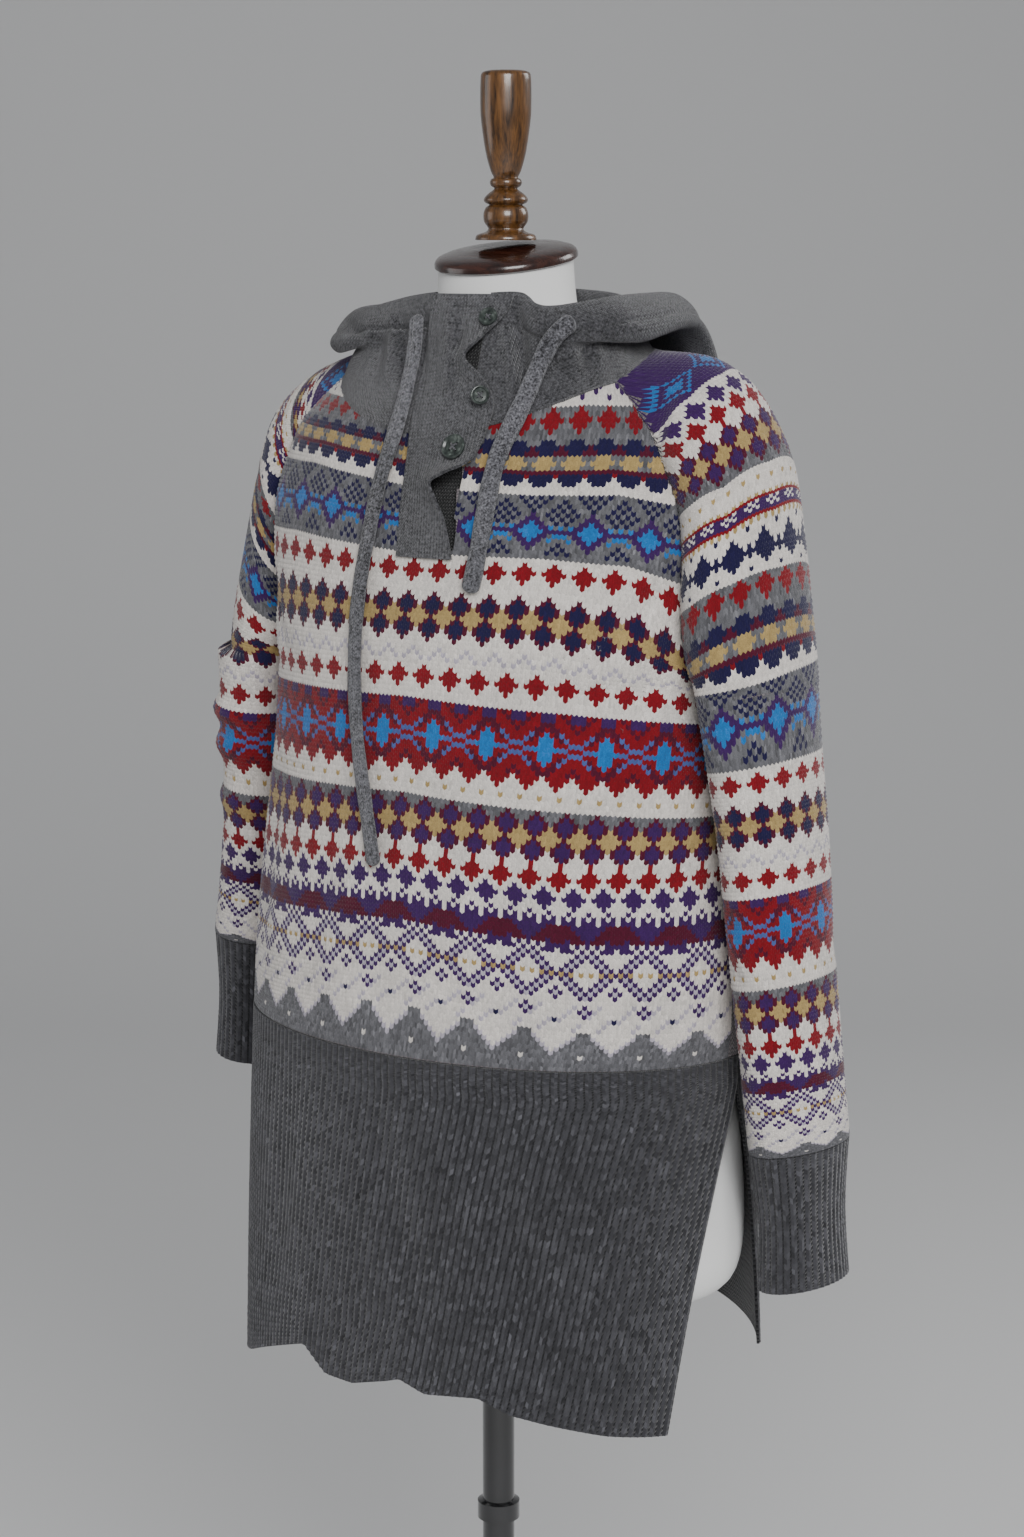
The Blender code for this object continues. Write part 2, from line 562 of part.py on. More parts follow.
def make_cuff(name, side):
    """One rib cuff."""
    right = side < 0

    def ring_point(t, share):
        z, x, half_width, half_depth = curve_row(CUFF, t)
        angle = -math.pi + 2 * math.pi * share
        point = sleeve_ring((z, x, half_width, half_depth), right, 1)[0]
        outer = (1 + math.cos(angle)) / 2
        swing = RIGHT_SWING * right
        point = Vector((x + half_width * math.cos(angle), half_depth * math.sin(angle) + swing,
                        point.z + SLEEVE_TILT * half_width * 2 * outer))
        point.x *= side
        return point

    def place(t, share):
        point = ring_point(t, share)
        middle = Vector((side * curve_row(CUFF, t)[1], RIGHT_SWING * right, point.z))
        spoke = point - middle
        return point, Vector((spoke.x / CUFF[0][2] ** 2, spoke.y / CUFF[0][3] ** 2, 0)).normalized()

    return rib_wall(name, place, range(len(CUFF)), CUFF_RIBS, "rib", True)


def make_body_and_sleeves():
    """Front, back and both sleeves, which share the directions along their seams."""
    front, back = body_grid(FRONT, -1), body_grid(BACK, 1)
    sleeves = {1: sleeve_grid(1), -1: sleeve_grid(-1)}
    front_n, back_n = grid_normals(front, flip=-1), grid_normals(back)
    last = len(front[0]) - 1
    yoke = range(len(YOKE_ROWS))
    trunk = range(len(YOKE_ROWS) - 1, len(front))
    sleeve_n = {side: grid_normals(grid, flip=side) for side, grid in sleeves.items()}
    for normals, grid in ((front_n, front), (back_n, back), *((sleeve_n[s], sleeves[s]) for s in (1, -1))):
        orient(grid, normals)
    share_seam(front_n, last, back_n, last, trunk)
    share_seam(front_n, 0, back_n, 0, trunk)
    open_rows = yoke[:-1]
    for side, column in ((1, last), (-1, 0)):
        share_seam(front_n, column, sleeve_n[side], 0, open_rows)
        share_seam(back_n, column, sleeve_n[side], SLEEVE_COLUMNS, open_rows)
        corner = len(YOKE_ROWS) - 1
        sleeve_n[side][corner][0] = Vector((-side, 0, 0.2)).normalized()
        sleeve_n[side][corner][SLEEVE_COLUMNS] = sleeve_n[side][corner][0]
    for grid, normals in ((front, front_n), (back, back_n), *((sleeves[s], sleeve_n[s]) for s in (1, -1))):
        for j, point in enumerate(grid[0]):
            normals[0][j] = neck_normal(point)
    for grid in (front, back):
        draw_in(grid, 0, 1, SEAM / 2)
        draw_in(grid, last, last - 1, SEAM / 2)
    for side, grid in sleeves.items():
        draw_in(grid, 0, 1, SEAM / 2, open_rows)
        draw_in(grid, SLEEVE_COLUMNS, SLEEVE_COLUMNS - 1, SEAM / 2, open_rows)
        corner = grid[len(YOKE_ROWS) - 1]
        corner[0] = corner[0] + Vector((side * 2 * SEAM, 0, 0))
        corner[SLEEVE_COLUMNS] = corner[0]
    notch_rows = YOKE_ROWS.index(PLACKET_BOTTOM_ROW)
    wall("front_body", front, front_n, "cloth",
         skip=lambda i, j: i < notch_rows and BODY_COLUMNS <= j < BODY_COLUMNS + 2)
    wall("back_body", back, back_n, "cloth")
    for side, name in ((1, "sleeve_left"), (-1, "sleeve_right")):
        wall(name, sleeves[side], sleeve_n[side], "cloth", joined_from=len(YOKE_ROWS) - 1)


def orient(grid, normals):
    """Turns a grid's directions so that they face away from the middle of each row."""
    for line, directions in zip(grid, normals):
        middle = sum(line, Vector()) / len(line)
        for point, direction in zip(line, directions):
            if direction.dot(point - middle) < 0:
                direction.negate()


def neck_seam(angle):
    """Point of the neck seam at an angle round the neck, in degrees from the front towards the left."""
    size = abs(angle)
    side = 1 if angle >= 0 else -1
    front_end, back_end = half_section(*FRONT[0][1:3], FRONT[0][4])[1], half_section(*BACK[0][1:3], BACK[0][4])[1]
    if size <= FRONT_NECK_END:
        point = body_point(FRONT[0], -1, front_end * size / FRONT_NECK_END)
    elif size >= BACK_NECK_END:
        point = body_point(BACK[0], 1, back_end * (180 - size) / (180 - BACK_NECK_END))
    else:
        ring = sleeve_grid(1)[0]
        t = (size - FRONT_NECK_END) / (BACK_NECK_END - FRONT_NECK_END) * SLEEVE_COLUMNS
        point = Vector(curve_row([tuple(p) for p in ring], t))
    return Vector((point.x * side, point.y, point.z))


def funnel_point(x, z):
    """Point on the front of the neck opening or, below the neck seam, on the front panel."""
    if z < FUNNEL[0][0]:
        rows = [(row[3], row[1], row[2], row[4]) for row in FRONT]
        _, side_x, side_y, depth = at_height(rows, z)
        half_width, _ = half_section(side_x, side_y, depth)
    else:
        _, half_width, depth = at_height(FUNNEL, z)
    return Vector((x, -depth * math.sqrt(max(0.0, 1 - (x / half_width) ** 2)), z))


def hood_grid(stations, edge_x, columns):
    """Points of one hood half, from its front edge to the middle of the back; rows from rim to neck seam."""
    lines = []
    places = []
    half_width, front_end = half_section(*FRONT[0][1:3], FRONT[0][4])
    for x in [edge_x] + ([FLAP_REST_X] if edge_x > 0 else []):
        angle = math.asin(x / half_width)
        seam = body_point(FRONT[0], -1, angle)
        lines.append([tuple(funnel_point(x, z)) for z in spread(seam.z, FUNNEL[-1][0], 6)])
        places.append((angle / front_end * FRONT_NECK_END,))
    for angle, profile in stations:
        turn = math.radians(angle)
        line = [tuple(neck_seam(angle))]
        line += [(radius * math.sin(turn), -radius * math.cos(turn), z) for radius, z in profile]
        lines.append(line)
        places.append((angle,))
    grid = []
    for k in range(columns + 1):
        t = k * (len(lines) - 1) / columns
        line = [curve_row([row[v] for row in lines], t) for v in range(7)]
        shift = neck_seam(curve_row(places, t)[0]) - Vector(line[0])
        grid.append([Vector(curve_row(line, v)) + shift * max(0.0, 1 - v / 2) ** 2 for v in HOOD_ROWS])
    return [[grid[k][v] for k in range(columns + 1)] for v in range(len(HOOD_ROWS))]


def make_hood():
    """Two hood halves that meet at a seam down the middle of the back."""
    halves = {}
    for name, stations, edge in (("hood_left", HOOD_LEFT, PLACKET_RIGHT), ("hood_right", HOOD_RIGHT, PLACKET_LEFT)):
        grid = hood_grid(stations, edge, HOOD_COLUMNS)
        normals = grid_normals(grid)
        front = grid[4][0]
        if normals[4][0].dot(Vector((front.x, front.y, 0))) < 0:
            normals = [[-direction for direction in line] for line in normals]
        halves[name] = (grid, normals)
    left, right = halves["hood_left"], halves["hood_right"]
    share_seam(left[1], HOOD_COLUMNS, right[1], HOOD_COLUMNS, range(len(HOOD_ROWS)))
    for grid, normals in halves.values():
        for j, point in enumerate(grid[-1]):
            normals[-1][j] = neck_normal(point)
            grid[-1][j] = point + Vector((0, 0, HOOD_LIFT))
        for i in range(len(HOOD_ROWS)):
            normals[i][HOOD_COLUMNS].x = 0
            normals[i][HOOD_COLUMNS].normalize()
        draw_in(grid, HOOD_COLUMNS, HOOD_COLUMNS - 1, SEAM / 2)
        draw_in(grid, 0, 1, SEAM)
    for name, (grid, normals) in halves.items():
        wall(name, grid, normals, "hood")


def make_placket():
    """Under band filling the notch, and the button band on top with its curling free edge."""
    notch_floor = curve_row(FRONT, PLACKET_BOTTOM_ROW)[3] + NOTCH_CLEAR
    under = []
    over = []
    for z in spread(FLAP_EDGE[-1][0], notch_floor, 10):
        under.append([funnel_point(x, z) for x in spread(PLACKET_LEFT + 2 * SEAM, PLACKET_RIGHT - 2 * SEAM, 3)])
    for t in spread(len(FLAP_EDGE) - 1, 0, 2 * len(FLAP_EDGE) - 2):
        z, edge_x, curl = curve_row(FLAP_EDGE, t)
        row = []
        for k, x in enumerate(spread(PLACKET_LEFT, edge_x, FLAP_COLUMNS)):
            share = k / FLAP_COLUMNS
            base = funnel_point(x, z)
            out = Vector((base.x, base.y, 0)).normalized()
            row.append(base + out * (WALL + 2 * SEAM + BAND_CLEAR + curl * share * share))
        over.append(row)
    under_n, over_n = grid_normals(under), grid_normals(over)
    orient_from_axis(under, under_n)
    orient_from_axis(over, over_n)
    wall("placket_under", under, under_n, "hood")
    wall("placket_over", over, over_n, "hood")


def orient_from_axis(grid, normals):
    """Turns a grid's directions so that they face away from the neck's axis."""
    for line, directions in zip(grid, normals):
        for point, direction in zip(line, directions):
            if direction.dot(Vector((point.x, point.y, 0))) < 0:
                direction.negate()


def turned(name, profile, finish, columns, base_z=0.0, centre=(0.0, 0.0)):
    """A turned piece from its profile of (radius, height), top to bottom."""
    points = []
    rings = []
    for radius, height in profile:
        if radius == 0.0:
            rings.append([len(points)])
            points.append((centre[0], centre[1], base_z + height))
            continue
        rings.append(list(range(len(points), len(points) + columns)))
        for k in range(columns):
            angle = 2 * math.pi * k / columns
            points.append((centre[0] + radius * math.cos(angle), centre[1] + radius * math.sin(angle),
                           base_z + height))
    faces = []
    for upper, lower in zip(rings, rings[1:]):
        for k in range(columns):
            a, b = upper[k % len(upper)], upper[(k + 1) % len(upper)]
            c, d = lower[(k + 1) % len(lower)], lower[k % len(lower)]
            faces.append([p for p in dict.fromkeys((a, d, c, b))])
    piece = add_mesh(name, points, faces, finish)
    face_outwards(piece)
    return piece


def make_form():
    """Limbless torso with its neck, one closed body, cut lower at the front of the neck."""
    points = []
    for k in range(len(FORM)):
        z, half_width, front, back, middle = FORM[k]
        tilt = max(0.0, (z - NECK_CUT_START) / (FORM[-1][0] - NECK_CUT_START))
        for j in range(FORM_COLUMNS):
            angle = 2 * math.pi * j / FORM_COLUMNS
            depth = front if math.sin(angle) < 0 else back
            y = depth * math.sin(angle)
            points.append((half_width * math.cos(angle), middle + y, z + tilt * math.tan(CAP_TILT) * y))
    faces = []
    for k in range(len(FORM) - 1):
        for j in range(FORM_COLUMNS):
            n = (j + 1) % FORM_COLUMNS
            faces.append([k * FORM_COLUMNS + j, k * FORM_COLUMNS + n, (k + 1) * FORM_COLUMNS + n,
                          (k + 1) * FORM_COLUMNS + j])
    top = (len(FORM) - 1) * FORM_COLUMNS
    faces.append(list(range(FORM_COLUMNS - 1, -1, -1)))
    faces.append(list(range(top, top + FORM_COLUMNS)))
    piece = add_mesh("dress_form", points, faces, "form")
    face_outwards(piece)


def make_cap_and_finial():
    """Tilted oval neck cap, with a level seat for the turned finial."""
    columns = CAP_COLUMNS
    tilt = Matrix.Rotation(CAP_TILT, 4, "X")
    centre = Vector(CAP_CENTRE) + Vector((0, 0, CAP_THICKNESS * 0.5 + SEAM))
    points = []
    for size, height in CAP_PROFILE:
        for k in range(columns):
            angle = 2 * math.pi * k / columns
            flat = Vector((CAP_RADII[0] * size * math.cos(angle), CAP_RADII[1] * size * math.sin(angle),
                           CAP_THICKNESS * height))
            points.append(centre + tilt @ flat)
    seat_z = centre.z + CAP_THICKNESS * CAP_PROFILE[-1][1] + FINIAL_SEAT_RISE
    for k in range(columns):
        angle = 2 * math.pi * k / columns
        points.append(Vector((FINIAL_SEAT_RADIUS * math.cos(angle),
                              centre.y + FINIAL_SEAT_RADIUS * math.sin(angle), seat_z)))
    faces = []
    for i in range(len(CAP_PROFILE)):
        for k in range(columns):
            n = (k + 1) % columns
            faces.append([i * columns + k, i * columns + n, (i + 1) * columns + n, (i + 1) * columns + k])
    top = len(CAP_PROFILE) * columns
    faces.append(list(range(columns - 1, -1, -1)))
    faces.append(list(range(top, top + columns)))
    face_outwards(add_mesh("neck_cap", points, faces, "cap"))
    turned("finial", FINIAL, "wood", 16, seat_z + SEAM, (0.0, centre.y))


def make_buttons():
    """Three flat four-hole buttons with a raised rim, each sewn to the band below it."""
    for number, (z, x, turn, radius, clear) in enumerate(BUTTONS, 1):
        piece = turned(f"button_{number}", [(size * radius, height) for size, height in BUTTON_PROFILE], "button", 16)
        seat = button_seat(x, z)
        step = radius * 0.6
        across = button_seat(x + step, z) - button_seat(x - step, z)
        out = across.cross(button_seat(x, z + step) - button_seat(x, z - step)).normalized()
        facing = Matrix.Rotation(math.radians(turn), 3, "Z") @ out
        turn_to = facing.to_track_quat("Z", "Y").to_matrix().to_4x4()
        place = Matrix.Translation(seat + out * clear) @ turn_to
        piece.data.transform(place)


def button_seat(x, z):
    """Point on the outside of the button band."""
    _, edge_x, curl = at_height(FLAP_EDGE, z)
    share = min(max((x - PLACKET_LEFT) / (edge_x - PLACKET_LEFT), 0.0), 1.0)
    base = funnel_point(x, z)
    out = Vector((base.x, base.y, 0)).normalized()
    return base + out * (WALL + 2 * SEAM + BAND_CLEAR + curl * share * share)


def make_drawstring(name, route):
    """A cord solid along its free route."""
    curve = bpy.data.curves.new(name, "CURVE")
    curve.dimensions = "3D"
    curve.bevel_depth = CORD_RADIUS
    curve.bevel_resolution = 2
    curve.use_fill_caps = True
    count = 18
    places = [curve_row(route, t) for t in spread(0, len(route) - 1, count)]
    spline = curve.splines.new("POLY")
    spline.points.add(count)
    for point, place in zip(spline.points, places):
        point.co = (*place, 1.0)
    piece = bpy.data.objects.new(name, curve)
    bpy.context.collection.objects.link(piece)
    curve.materials.append(material("hood"))


def build():
    """Removes what the scene holds and builds every piece."""
    for old in list(bpy.data.objects):
        bpy.data.objects.remove(old, do_unlink=True)
    make_body_and_sleeves()
    make_hem("front_hem", FRONT_HEM, -1)
    make_hem("back_hem", BACK_HEM, 1)
    make_cuff("cuff_left", 1)
    make_cuff("cuff_right", -1)
    make_hood()
    make_placket()
    make_buttons()
    make_drawstring("drawstring_left", DRAWSTRING_LEFT)
    make_drawstring("drawstring_right", DRAWSTRING_RIGHT)
    make_form()
    make_cap_and_finial()
    turned("stand_pole", POLE, "metal", 16)
    turned("stand_base", BASE, "metal", 40)


build()
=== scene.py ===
import math

import bpy
import numpy as np
from mathutils import Matrix, Vector


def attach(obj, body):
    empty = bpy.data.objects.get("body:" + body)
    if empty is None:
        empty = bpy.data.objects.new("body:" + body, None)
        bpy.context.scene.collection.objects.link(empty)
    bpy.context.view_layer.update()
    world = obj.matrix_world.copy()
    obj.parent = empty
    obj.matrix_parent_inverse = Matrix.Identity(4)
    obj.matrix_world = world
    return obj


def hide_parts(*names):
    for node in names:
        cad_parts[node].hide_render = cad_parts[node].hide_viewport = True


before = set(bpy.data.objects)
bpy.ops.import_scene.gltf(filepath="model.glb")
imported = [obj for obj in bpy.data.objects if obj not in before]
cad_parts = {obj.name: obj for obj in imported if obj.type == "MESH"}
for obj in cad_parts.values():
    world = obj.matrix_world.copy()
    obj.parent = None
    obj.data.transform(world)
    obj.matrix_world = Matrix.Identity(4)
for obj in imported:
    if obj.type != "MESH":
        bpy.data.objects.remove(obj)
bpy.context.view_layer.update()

RANDOM = np.random.default_rng(7)


def metres(parts, value):
    """A number or a table given in parts of a metre: 1000 for millimetres, 10000 for tenths of one."""
    if isinstance(value, (list, tuple)):
        return type(value)(metres(parts, each) for each in value)
    return value / parts


# ---------------------------------------------------------------- sizes of the garment, in metres
WALL = 0.0022            # knit cloth thickness
STITCH = 0.0036          # width of one knit column
RIBS_PANEL = 90          # ribs across one hem panel
RIBS_CUFF = 40           # ribs round one cuff
SLEEVE_STITCHES = 84     # knit columns round a sleeve
FRONT_FIRST_ROW, BACK_FIRST_ROW, SLEEVE_FIRST_ROW = -42, -46, -100   # pattern rows at the neck
BODY_LAST_ROW = 107      # pattern row where the rib starts
BODY_STITCHES = 82       # most knit columns on each side of the body's middle
SEAM_MARGIN = 0.0006     # stitches may reach this far past a panel's edge
PLACKET_LEFT, PLACKET_RIGHT = -0.008, 0.036
PLACKET_BOTTOM_ROW = 3.45
RIGHT_SWING = 0.045      # the right sleeve hangs this much further back
RIGHT_SHORT = 0.735      # slack in the right sleeve
RIGHT_SHOULDER_DROP = 0.014
BODY_END = 12            # places down a panel: the lower edge of the body,
UNDERARM = 7             # the underarm and
WRIST = 13               # the wrist of a sleeve

# Camera that sees the tunic as the photo does
CAMERA_TURN = math.radians(33.0)
AHEAD = (-math.sin(CAMERA_TURN), math.cos(CAMERA_TURN))
CAMERA_DOWN = math.radians(9.8)
CAMERA_DISTANCE = 2.35
CAMERA_SIDE = 0.0105
CAMERA_HEIGHT = 1.483
LENS = 74.02
SENSOR = 36.0

# Front of the body, rows from the neck down: side height, side x, side y, height and depth at the middle
FRONT = metres(1000, [
    (1372, 118, -26, 1335, 100), (1340, 150, -35, 1312, 105), (1316, 163, -37, 1292, 110),
    (1283, 176, -37, 1266, 115), (1245, 179, -36, 1235, 120), (1205, 178, -35, 1200, 123),
    (1168, 181, -26, 1165, 122), (1150, 184, 0, 1146, 121), (1100, 188, 0, 1095, 122),
    (1045, 195, 0, 1040, 126), (990, 202, 0, 986, 130), (935, 207, 0, 932, 134), (885, 209, 0, 884, 138),
])
BACK = metres(1000, [
    (1392, 100, 49, 1397, 86), (1360, 135, 56, 1362, 100), (1325, 158, 58, 1328, 112),
    (1285, 172, 55, 1287, 119), (1245, 179, 50, 1245, 121), (1205, 180, 42, 1204, 120),
    (1168, 182, 26, 1165, 117), (1150, 184, 0, 1146, 116), (1100, 188, 0, 1095, 112),
    (1045, 195, 0, 1040, 118), (990, 202, 0, 986, 130), (935, 207, 0, 932, 139), (885, 209, 0, 884, 146),
])
# Rib hems: height and place of the left edge, of the right edge, then height and depth at the middle
FRONT_HEM = metres(10000, [
    (8847, 2090, 0, 8847, 2090, 0, 8837, 1380), (8600, 2090, -10, 8600, 2100, -10, 8550, 1390),
    (7900, 2030, -200, 7920, 2120, -60, 7850, 1430), (7050, 1940, -380, 7080, 2140, -100, 7050, 1470),
    (6050, 1840, -540, 6120, 2150, -140, 6400, 1520),
])
BACK_HEM = metres(10000, [
    (8847, 2090, 0, 8847, 2090, 0, 8837, 1460), (8600, 2090, 10, 8600, 2100, 10, 8570, 1490),
    (7950, 2070, 220, 7950, 2110, 100, 7900, 1540), (7200, 2030, 420, 7200, 2130, 200, 7180, 1570),
    (6450, 2000, 560, 6450, 2150, 280, 6550, 1600),
])
# Uneven lower edge of the front hem: share of the way from the middle (-1 right, 1 left), rise
HEM_WAVE = [
    (-1, 0.004), (-0.78, -0.014), (-0.62, -0.01), (-0.42, 0.003), (-0.27, 0.013), (-0.19, -0.006),
    (-0.1, -0.008), (0.05, 0.004), (0.14, -0.003), (0.32, 0.004), (0.42, -0.003), (0.55, -0.004),
    (0.75, -0.004), (1, 0),
]
# Sleeve. Tops of the raglan rings on the shoulder line: x, y, height, half depth of the ring
SHOULDER = metres(10000, [
    (1215, 120, 13885, 395), (1500, 140, 13895, 500), (1760, 140, 13850, 530), (2050, 120, 13660, 560),
    (2290, 100, 13250, 590), (2410, 60, 12700, 610), (2520, 20, 12050, 615), (2585, 0, 11580, 600),
])
# Closed rings from the underarm to the wrist: height, x of the middle, half width, half depth
SLEEVE = metres(10000, [
    (11500, 2215, 370, 600), (11000, 2285, 345, 580), (10500, 2355, 335, 555), (10000, 2405, 330, 535),
    (9400, 2470, 325, 510), (8800, 2540, 325, 485), (8250, 2605, 330, 460),
])
NECK_OPENING = math.radians(62)
SLEEVE_TILT = 0.16
SLEEVE_LIFT = -0.004
CUFF = metres(10000, [(8247, 2605, 320, 450), (7750, 2635, 275, 400), (7240, 2655, 295, 415)])
SLACK_FOLDS = metres(10000, [(10850, 50), (10450, 42), (9850, 30)])
SLACK_FOLD_WIDTH = 0.012
# Hood worn down. Each station: angle round the neck, then (radius, height) from the neck seam to the rim
HOOD_LEFT = [(angle, metres(1000, line)) for angle, line in [
    (55, [(110, 1368), (103, 1382), (99, 1394), (100, 1403), (101, 1412), (94, 1425)]),
    (82, [(114, 1395), (110, 1405), (119, 1403), (131, 1399), (136, 1411), (115, 1432)]),
    (112, [(109, 1405), (110, 1416), (128, 1409), (148, 1400), (155, 1411), (131, 1434)]),
    (146, [(93, 1412), (101, 1426), (138, 1360), (158, 1293), (182, 1322), (143, 1434)]),
    (180, [(79, 1415), (92, 1429), (133, 1345), (148, 1268), (182, 1298), (137, 1436)]),
]]
HOOD_RIGHT = [(angle, metres(1000, line)) for angle, line in [
    (-32, [(99, 1362), (91, 1380), (85, 1395), (82, 1405), (79, 1416), (72, 1430)]),
    (-62, [(110, 1382), (103, 1394), (108, 1392), (118, 1388), (122, 1398), (100, 1420)]),
    (-96, [(113, 1402), (108, 1413), (124, 1407), (141, 1396), (147, 1404), (131, 1420)]),
    (-118, [(107, 1408), (104, 1421), (129, 1405), (150, 1389), (161, 1402), (135, 1425)]),
    (-140, [(95, 1412), (101, 1425), (134, 1368), (157, 1300), (180, 1326), (140, 1430)]),
    (-180, [(79, 1415), (92, 1429), (133, 1345), (148, 1268), (182, 1298), (137, 1436)]),
]]
HOOD_LIFT = 0.0010       # the hood's foot stands this much above the neck seam
FRONT_NECK_END, BACK_NECK_END = 75.0, 125.0   # degrees round the neck where front and back meet the sleeves
FLAP_REST_X = 0.057
# Front of the neck opening: height, half width, depth
FUNNEL = metres(10000, [(13350, 1222, 1000), (13850, 1090, 840), (14340, 980, 680)])
# Free edge of the button band: height, x of the edge, how far the edge curls off the band below
FLAP_EDGE = metres(10000, [
    (12480, 370, 10), (12620, 335, 20), (12760, 290, 40), (12900, 220, 70), (13020, 175, 100),
    (13100, 270, 120), (13200, 440, 80), (13400, 500, 40), (13580, 510, 55), (13740, 420, 90),
    (13900, 270, 100), (14050, 360, 60), (14200, 480, 30), (14330, 510, 30),
])
BAND_OUT = 0.0032        # the button band stands this much off the funnel's surface
# Buttons: height, x, tilt sideways in degrees, radius, how far the seat stands off the band
BUTTONS = [
    (1.4165, 0.038, 0, 0.0068, 0.0009), (1.363, 0.043, 40, 0.0068, 0.0042),
    (1.326, 0.031, 0, 0.0092, 0.0014),
]
# Free drawstrings, from the eyelet down: x, y, z
DRAWSTRING_RIGHT = metres(10000, [
    (-196, -763, 14178), (-169, -818, 14031), (-154, -876, 13869), (-149, -940, 13719), (-155, -992, 13578),
    (-185, -1054, 13367), (-245, -1105, 13130), (-291, -1154, 12889), (-320, -1197, 12654),
    (-351, -1230, 12424), (-388, -1250, 12148), (-416, -1252, 11856), (-432, -1242, 11561),
    (-422, -1241, 11268), (-381, -1257, 10980), (-320, -1279, 10693), (-255, -1306, 10409),
    (-212, -1324, 10224),
])
DRAWSTRING_LEFT = metres(10000, [
    (998, -528, 14149), (933, -583, 14097), (863, -617, 14014), (820, -664, 13901), (794, -726, 13777),
    (762, -800, 13625), (728, -877, 13480), (691, -949, 13343), (658, -1011, 13197), (640, -1061, 13045),
    (629, -1100, 12893), (618, -1134, 12740), (604, -1165, 12586), (582, -1194, 12404), (551, -1214, 12255),
])
CORD_WIDTH, CORD_THICKNESS = 0.0135, 0.0048
# Dress form: height, half width, depth to the front, depth to the back, y of the middle
FORM = metres(10000, [
    (6900, 1650, 1000, 1100, 0), (6980, 1880, 1220, 1300, 0), (7160, 1980, 1320, 1390, 0),
    (7500, 2005, 1340, 1410, 0), (8000, 1970, 1300, 1400, 0), (8600, 1890, 1240, 1360, 0),
    (9200, 1760, 1140, 1250, 0), (9800, 1600, 1020, 1080, 0), (10500, 1460, 940, 920, 0),
    (11100, 1500, 1020, 900, 0), (11650, 1600, 1120, 980, 0), (12150, 1680, 1150, 1040, 0),
    (12600, 1700, 1060, 1060, 0), (13000, 1660, 940, 1020, 20), (13300, 1640, 800, 880, 40),
    (13520, 1615, 712, 730, 80), (13690, 1455, 612, 620, 100), (13800, 1120, 510, 500, 120),
    (13890, 820, 500, 470, 140), (14020, 610, 500, 460, 150), (14250, 530, 500, 460, 140),
    (14525, 505, 490, 470, 120),
])
NECK_CUT_START = 1.402
CAP_TILT = math.radians(10.0)
CAP_CENTRE = (0.0, 0.011, 1.4530)
CAP_RADII = (0.0535, 0.0525)
CAP_THICKNESS = 0.0105
SEAT_Z = 1.4531 + 0.0105 * 0.5 + 0.0105 * 0.62 + 0.0050 + 0.0005
# Turned pieces, from the top down: radius, height
FINIAL = metres(10000, [
    (130, 1222), (175, 1205), (186, 1150), (188, 980), (182, 860), (150, 640), (112, 500), (90, 455),
    (110, 440), (118, 415), (108, 390), (85, 372), (120, 345), (152, 315), (163, 290), (150, 268),
    (122, 255), (150, 235), (166, 185), (160, 130), (130, 85), (150, 60), (210, 40), (225, 15), (225, 0),
])
POLE = metres(10000, [
    (340, 6897), (340, 6820), (200, 6790), (200, 6500), (125, 6480), (125, 4960), (165, 4945), (165, 4810),
    (125, 4795), (125, 620), (190, 600), (230, 320), (340, 253),
])
BASE = metres(10000, [(30, 250), (600, 240), (1200, 190), (1650, 130), (1780, 95), (1800, 50), (1780, 0)])


def srgb(red, green, blue):
    """Linear colour of a 0-255 colour-card value."""
    parts = []
    for part in (red, green, blue):
        share = part / 255
        parts.append(share / 12.92 if share <= 0.04045 else ((share + 0.055) / 1.055) ** 2.4)
    return tuple(parts)


# Dyed yarns of the chart
YARNS = {
    "w": srgb(214, 208, 202), "r": srgb(122, 8, 23), "n": srgb(25, 21, 62), "b": srgb(78, 10, 38),
    "t": srgb(166, 142, 92), "g": srgb(96, 96, 100), "p": srgb(56, 24, 82), "u": srgb(38, 108, 174),
    "l": srgb(72, 90, 148), "f": srgb(172, 166, 178), "h": srgb(64, 64, 68),
}


# ---------------------------------------------------------------- camera and lamps
def aim_camera():
    """The photo's view: turned to the wearer's left, looking slightly down."""
    ahead = Vector((*AHEAD, 0))
    side = Vector((math.cos(CAMERA_TURN), math.sin(CAMERA_TURN), 0))
    place = -ahead * CAMERA_DISTANCE + side * CAMERA_SIDE + Vector((0, 0, CAMERA_HEIGHT))
    look = ahead * math.cos(CAMERA_DOWN) - Vector((0, 0, math.sin(CAMERA_DOWN)))
    data = bpy.data.cameras.new("photo_camera")
    data.sensor_fit = "VERTICAL"
    data.sensor_height = SENSOR
    data.lens = LENS
    camera = bpy.data.objects.new("photo_camera", data)
    bpy.context.collection.objects.link(camera)
    camera.matrix_world = Matrix.Translation(place) @ look.to_track_quat("-Z", "Y").to_matrix().to_4x4()
    bpy.context.scene.camera = camera


def softbox(name, place, target, size, watts):
    """One large soft light aimed at a point."""
    data = bpy.data.lights.new(name, "AREA")
    data.shape = "RECTANGLE"
    data.size, data.size_y = size
    data.energy = watts
    lamp = bpy.data.objects.new(name, data)
    bpy.context.collection.objects.link(lamp)
    away = Vector(target) - Vector(place)
    lamp.matrix_world = Matrix.Translation(place) @ away.to_track_quat("-Z", "Y").to_matrix().to_4x4()


